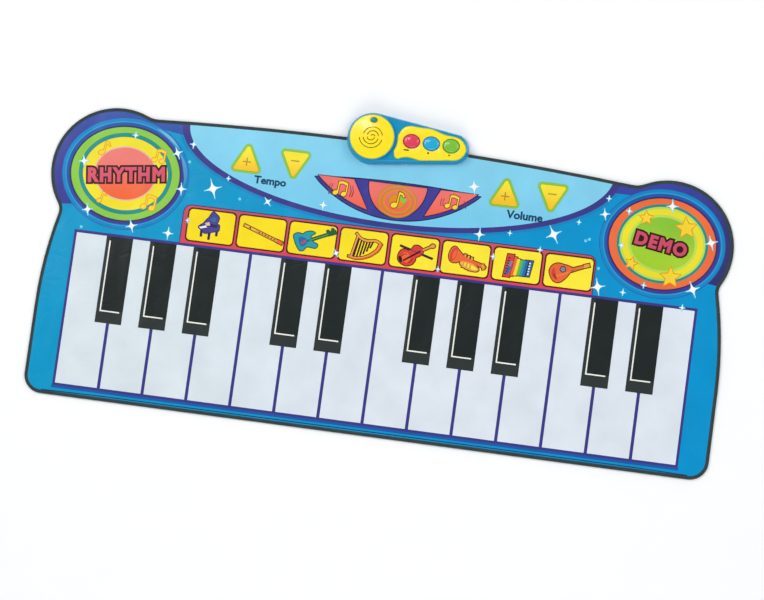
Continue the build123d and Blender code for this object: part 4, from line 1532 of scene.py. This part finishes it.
@dataclass
class Mat:
    """The soft mat: its layers, playing zones, bound edge and stitching.

    Attributes:
        tape_width: The binding tape's width over the mat.
        tape_thickness: Its thickness.
        stitch_pitch: Distance between stitches.
        stitch_length: Length of one stitch.
        stitch_inset: How far the seam is from the tape's inner edge.
    """

    tape_width: float = 9.0
    tape_thickness: float = 0.6
    stitch_pitch: float = 5.5
    stitch_length: float = 3.6
    stitch_inset: float = 2.0

    def build(self) -> None:
        """Builds every layer from the floor up."""
        rim = max(plan_of("base_sheet"), key=area_of)
        relief = Relief(rim)
        ground, figures = Artwork().compose()
        underside = self.underside(Relief(rim, swell=0.0, fold_depth=0.0, roll=0.0))
        foam = self.foam(relief)
        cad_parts["switch_film"].data.materials.clear()
        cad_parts["switch_film"].data.materials.append(ClearFilm("printed_circuit_film",
                                                                      "#C9D2D4").material())
        cover = Panel("cover_sheet", "mat", "blue_vinyl", Hue.SEA_BLUE.finish, relief).build(ground + figures)
        for node, (slot, hue) in self.zones().items():
            pad = Panel(node, node, slot, hue.finish, relief, bottom=ZONE_BOTTOM).build(figures)[0]
        tape, seam = self.binding(relief)
        plan_area = sum(area_of(loop) for loop in plan_of("cover_sheet")) * MM**2
        base_area = sum(area_of(loop) for loop in plan_of("base_sheet")) * MM**2

    def zones(self) -> dict[str, tuple[str, Hue]]:
        """Each playing zone's material slot and vinyl colour.

        Returns:
            Slot and colour of each zone, by node.
        """
        zones = {f"white_key_{n:02d}": ("white_vinyl", Hue.KEY_WHITE) for n in range(1, 15)}
        zones |= {f"black_key_{n:02d}": ("black_vinyl", Hue.KEY_SHADE) for n in range(1, 11)}
        zones |= {f"{name}_pad": ("yellow_vinyl", Hue.SIGNAL_YELLOW) for name in INSTRUMENTS}
        zones |= {name: ("yellow_vinyl", Hue.GOLD) for name in TRIANGLES}
        zones |= {name: ("coral_vinyl", Hue.MELON) for name in LENS_PADS}
        zones |= {"rhythm_pad": ("green_vinyl", Hue.RING_GREEN), "demo_pad": ("orange_vinyl",
                                                                              Hue.RING_ORANGE)}
        return zones

    def underside(self, level: Relief) -> bpy.types.Object:
        """The plain vinyl sheet that lies on the floor.

        Args:
            level: The flat surface that it follows.

        Returns:
            The sheet.
        """
        finish = PrintedVinyl("calendered_vinyl_underside", "#2B3A44", roughness=0.5)
        panel = Panel("base_sheet", "mat", "underside_vinyl", finish, level, bottom=0.0, step=30,
                      top=BASE_TOP)
        return panel.build([])[0]

    def foam(self, relief: Relief) -> bpy.types.Object:
        """The foam layer between the film and the cover, open under every zone.

        Args:
            relief: How the mat lies.

        Returns:
            The foam piece.
        """
        finish = CellFoam("open_cell_foam", "#E9E6DA")
        panel = Panel("foam_spacer", "mat", "foam", finish, relief, bottom=FILM_TOP, step=24,
                      top=FOAM_TOP - 0.08)
        foam = panel.build([])[0]
        return foam

    def edge_path(self) -> Array:
        """The outer edge of the tape, from one side of the module round the mat to the other.

        The tape's plan is one long strip, so its outline has four sharp corners; the longest run
        between two of them is the outer edge.

        Returns:
            The points of the edge.
        """
        loop = max(plan_of("edge_binding"), key=area_of)
        way = np.roll(loop, -1, 0) - loop
        heading = np.arctan2(way[:, 1], way[:, 0])
        turn = np.abs((heading - np.roll(heading, 1) + math.pi) % math.tau - math.pi)
        corners = np.sort(np.argsort(turn)[-4:])
        loop, corners = np.roll(loop, -corners[0], 0), np.append(corners - corners[0], len(loop))
        runs = [np.concatenate([loop[a:b], loop[b % len(loop)][None]]) for a, b in zip(corners, corners[1:])]
        return evenly(max(runs, key=lambda run: np.linalg.norm(np.diff(run, axis=0), axis=1).sum()), 7)

    def binding(self, relief: Relief) -> tuple[bpy.types.Object, bpy.types.Object]:
        """The folded tape round the edge and the seam sewn through it.

        The tape's section is a folded strip: up the outside in a round, over the cover, back
        underneath itself and down again under the mat.

        Args:
            relief: How the mat lies.

        Returns:
            The tape and its seam.
        """
        edge = self.edge_path()
        side = right_of(edge, closed=False)
        width, thick = self.tape_width, self.tape_thickness
        top = height_of("edge_binding")
        section = np.array([
            (-width, 0.05), (-1.8, 0.05), (-0.5, 0.8), (0, 2.2), (0, top - 2.2), (-0.6, top - 0.8), (-1.9,
                                                                                                     top),
            (-5.0, top), (-width + 0.7, top - 0.15), (-width, top - 0.5), (-width, top - 0.5 - 0.12),
            (-width + 0.8, top - thick - 0.08), (-2.0, top - thick), (-1.2, top - 1.4), (-0.9, 3.0), (-1.2,
                                                                                                      1.2),
            (-2.2, 0.38), (-width, 0.38),
        ])
        points, faces = carried(section, edge, side, closed=False)
        raised = points[:, 2] > 3.5
        points[raised, 2] += relief.height(points[raised, :2])
        tape = make_piece("edge_tape", points, faces, [WovenTape("woven_binding_tape", "#1D2A2C")], "mat",
                          crease=60)
        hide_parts("edge_binding")
        path = evenly(edge - side * (width - self.stitch_inset), self.stitch_pitch)
        across = right_of(path, closed=False)
        along = np.stack([-across[:, 1], across[:, 0]], 1)
        half, thin, rise = self.stitch_length / 2, 0.55, 0.4
        shape = np.array([(-half, -thin, -0.1), (half, -thin, -0.1), (half, thin, -0.1), (-half, thin, -0.1),
                          (-half * 0.55, -thin * 0.6, rise), (half * 0.55, -thin * 0.6, rise),
                          (half * 0.55, thin * 0.6, rise), (-half * 0.55, thin * 0.6, rise)])
        spots = (path[:, None] + along[:, None] * shape[None, :, :1] - across[:, None] * shape[None, :, 1:2])
        heights = top + relief.height(path)[:, None] + shape[None, :, 2]
        points = np.concatenate([spots, heights[..., None]], 2).reshape(-1, 3)
        quads = np.array([(3, 2, 1, 0), (4, 5, 6, 7), (0, 1, 5, 4), (1, 2, 6, 5), (2, 3, 7, 6), (3, 0, 4, 7)])
        faces = (quads[None] + 8 * np.arange(len(path))[:, None, None]).reshape(-1, 4).tolist()
        seam = make_piece("edge_seam", points, faces, [WovenTape("sewing_thread", "#31474C",
                                                                 roughness=0.6)], "mat",
                          crease=60)
        return tape, seam


# ------------------------------------------------------------------ the sound module

@dataclass
class SoundModule:
    """The plastic sound module over the mat's far edge.

    Attributes:
        lime: The edge lines' finish.
        yellow: The panel's and the grille's finish.
        blue: The case's finish.
    """

    lime: Finish = MouldedAbs("moulded_abs_lime", "#A9C736")
    yellow: Finish = MouldedAbs("moulded_abs_yellow", "#FFE220")
    blue: Finish = MouldedAbs("moulded_abs_blue", "#008DBB", specular=0.35)

    def build(self) -> None:
        """Builds the case, the panel, the grille, the buttons and what is inside."""
        for node, finish, slot in (
            ("upper_case", self.blue, "blue_plastic"), ("lower_case", self.blue, "blue_plastic"),
            ("battery_door", self.blue, "blue_plastic"), ("control_panel", self.yellow, "yellow_plastic"),
            ("speaker_grille", self.yellow, "yellow_plastic"),
            ("speaker", MouldedAbs("speaker_cone_black", "#15181A", roughness=0.6), "black_plastic"),
            ("circuit_board", MouldedAbs("solder_mask_green", "#1F6B3F", roughness=0.35), "board"),
            ("button_membrane", MouldedAbs("silicone_grey", "#B9BDBE", roughness=0.6), "silicone"),
            ("batteries", RolledMetal("battery_can_steel", "#C9CCD0"), "battery_can"),
            ("case_screws", RolledMetal("zinc_plated_screw", "#B8BABD"), "screw_steel"),
        ):
            self.moulded(node, finish)
        self.edge_lines()
        self.buttons()
        self.marks()

    def moulded(self, node: str, finish: Finish) -> bpy.types.Object:
        """A copy of a rigid part with its loose triangles joined, shaded smooth between its creases.

        Args:
            node: The CAD node.
            finish: Its finish.

        Returns:
            The piece.
        """
        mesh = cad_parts[node].data
        mesh.calc_loop_triangles()
        co, tri = np.zeros(len(mesh.vertices) * 3), np.zeros(len(mesh.loop_triangles) * 3, int)
        mesh.vertices.foreach_get("co", co)
        mesh.loop_triangles.foreach_get("vertices", tri)
        co, same = np.unique(np.round(co.reshape(-1, 3) / MM, 3), axis=0, return_inverse=True)
        tri = same.reshape(-1)[tri].reshape(-1, 3)
        tri = tri[(tri[:, 0] != tri[:, 1]) & (tri[:, 1] != tri[:, 2]) & (tri[:, 2] != tri[:, 0])]
        points = co - (0, FIELD_CENTRE_Y, 0)
        piece = make_piece(node + "_moulding", points, tri.tolist(), [finish], "mat", crease=32)
        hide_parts(node)
        return piece

    def edge_lines(self) -> None:
        """Lime lines round the panel and the grille."""
        panel = max(plan_of("control_panel"), key=area_of)
        bead("panel_edge_line", spaced(grown(panel, 0.5), 3), 1.4, height_of("control_panel") - 0.9,
             self.lime, "mat")
        x, y, radius, _ = centre_of("speaker_grille")
        drum_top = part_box("speaker_grille")[0].z / MM
        bead("grille_edge_line", ellipse(x, y, radius + 0.5, radius + 0.5, 96), 1.5, drum_top + 0.6,
             self.lime, "mat")

    def buttons(self) -> None:
        """Domed oval caps with a flange inside the case, each in a rim of painted shade: a darker bead of the
        button's own colour.
        """
        floor = height_of("control_panel")
        for node, slot, code, rim in (("red_button", "red_plastic", "#DE3F5C", "#A62A42"),
                                      ("blue_button", "sky_plastic", "#1BA9D6", "#14789C"),
                                      ("green_button", "green_plastic", "#79BF3A", "#578F2A")):
            self.cap(node, MouldedAbs("moulded_abs_" + node, code, roughness=0.16), floor + 0.8)
            x, y, rx, ry = centre_of(node)
            # Painted shade: the bead round each button is a darker copy of its colour, where the gap round it
            # would be in shade.
            bead(node + "_rim", ellipse(x, y, rx - 0.6, ry - 0.6, 72), 1.1, floor,
                 MouldedAbs("rim_" + node, rim), "mat")
        self.cap("power_button", MouldedAbs("moulded_abs_power", "#2E7C74"),
                 height_of("power_button") - 1.5)

    def cap(self, node: str, finish: Finish, shoulder: float) -> bpy.types.Object:
        """A button: flange, straight side, then a crown whose radius is cos(a)^0.7 and height sin(a).

        Args:
            node: The CAD node.
            finish: Its finish.
            shoulder: The height where its crown begins.

        Returns:
            The piece.
        """
        x, y, rx, ry = centre_of(node)
        low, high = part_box(node)[0].z / MM, height_of(node)
        flange = 2.0
        a = np.linspace(0, math.pi / 2, 12)[:-1]
        crown = np.stack([(rx - flange) * np.cos(a) ** 0.7, (ry - flange) * np.cos(a) ** 0.7,
                          shoulder + (high - shoulder) * np.sin(a)], 1)
        rows = np.concatenate([
            [(0, 0, low), (rx, ry, low), (rx, ry, low + 1.6), (rx - flange, ry - flange, low + 1.6)],
            crown, [(0, 0, high)]])
        points, faces = oval_skin(x, y, rows)
        piece = make_piece(node + "_cap", points, faces, [finish], node)
        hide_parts(node)
        return piece

    def marks(self) -> None:
        """Three plain marks printed under the buttons: a bar, a dot and an arrowhead."""
        top = height_of("control_panel")
        ink = PrintedVinyl("pad_printed_mark", "#3B4A2A")
        shapes = {"bar_mark": box(13, 27, 517.5, 521), "dot_mark": ellipse(78, 518, 2.8, 2.8, 20),
                  "arrow_mark": np.array([(131, 516), (137, 519), (131, 522)], float)}
        for name, loop in shapes.items():
            n = len(loop)
            points = np.concatenate([np.column_stack([loop, np.full(n, top + 0.06)]),
                                     np.column_stack([loop, np.full(n, top - 0.05)])])
            k = np.arange(n)
            walls = np.stack([k, k + n, (k + 1) % n + n, (k + 1) % n], 1).tolist()
            faces = [list(range(n)), list(range(n, 2 * n))[::-1], *walls]
            make_piece(name, points, faces, [ink], "mat", crease=30)


# ------------------------------------------------------------------ the studio

@dataclass
class Studio:
    """A pale floor, soft light from all round and a camera nearly overhead.

    Attributes:
        eye: The camera's place in metres.
        forward: Its line of sight.
        up: Its upward direction.
        lens_mm: Its focal length on a 36 mm wide sensor.
    """

    eye: tuple[float, float, float] = (0.60262, -0.61466, 6.81750)
    forward: tuple[float, float, float] = (-0.086574, 0.085518, -0.992568)
    up: tuple[float, float, float] = (-0.127455, 0.987171, 0.096170)
    lens_mm: float = 124.459

    def build(self) -> None:
        """Sets up the floor, the sky light, the lamps and the camera."""
        self.floor()
        self.sky()
        for place, size, power in (((-2.6, 1.6, 3.4), 2.2, 70.0), ((2.8, 1.4, 3.2), 2.2, 48.0),
                                   ((0.4, -3.4, 3.0), 2.6, 57.0), ((-1.0, 1.87, 4.4), 0.7, 18.0)):
            self.lamp(place, size, power)
        self.camera()
        bpy.context.scene.view_settings.view_transform = "Standard"

    def floor(self) -> None:
        """A wide sheet of pale paper under the object."""
        half = 12.0
        corners = [(-half, -half, -0.0004), (half, -half, -0.0004), (half, half, -0.0004),
                   (-half, half, -0.0004)]
        mesh = bpy.data.meshes.new("studio_floor")
        mesh.from_pydata(corners, [], [(0, 1, 2, 3)])
        mesh.materials.append(Finish("backdrop_paper", "#FAFAFA", roughness=0.9, specular=0.1,
                                     drift=0.006).material())
        floor = bpy.data.objects.new("studio_floor", mesh)
        bpy.context.scene.collection.objects.link(floor)

    def sky(self) -> None:
        """Surrounding light: bright near the horizon and dim overhead, as in a room with pale walls."""
        world = bpy.data.worlds.new("studio_surround")
        world.use_nodes = True
        tree = world.node_tree
        back = tree.nodes["Background"]
        way = add(tree, "TexCoord").outputs["Generated"]
        split = add(tree, "SeparateXYZ", {0: way})
        rise = add(tree, "MapRange", {"Value": split.outputs["Z"], "From Min": 0.1, "From Max": 0.95,
                                      "To Min": 0.95, "To Max": 0.2})
        tree.links.new(rise.outputs[0], back.inputs["Strength"])
        back.inputs["Color"].default_value = linear("#FAFCFF")
        bpy.context.scene.world = world

    def lamp(self, place: tuple[float, float, float], size: float, power: float) -> None:
        """A large square soft light aimed at the mat.

        Args:
            place: Where it stands, in metres.
            size: Its side, in metres.
            power: Its power, in watts.
        """
        data = bpy.data.lights.new("softbox", "AREA")
        data.size, data.energy = size, power
        lamp = bpy.data.objects.new("softbox", data)
        lamp.location = place
        lamp.rotation_euler = (-Vector(place)).to_track_quat("-Z", "Y").to_euler()
        bpy.context.scene.collection.objects.link(lamp)

    def camera(self) -> None:
        """The camera, turned so that it looks along its line of sight."""
        data = bpy.data.cameras.new("view")
        data.lens, data.sensor_width = self.lens_mm, 36.0
        data.clip_start, data.clip_end = 0.1, 60.0
        forward, up = Vector(self.forward).normalized(), Vector(self.up).normalized()
        right = forward.cross(up).normalized()
        up = right.cross(forward)
        turn = Matrix((right, up, -forward)).transposed().to_4x4()
        camera = bpy.data.objects.new("view", data)
        camera.matrix_world = Matrix.Translation(self.eye) @ turn
        bpy.context.scene.collection.objects.link(camera)
        bpy.context.scene.camera = camera


def main() -> None:
    """Builds the studio, the mat and the module."""
    logging.basicConfig(level=logging.INFO, format="%(message)s")
    Studio().build()
    Mat().build()
    SoundModule().build()


if __name__ == "__main__":
    main()
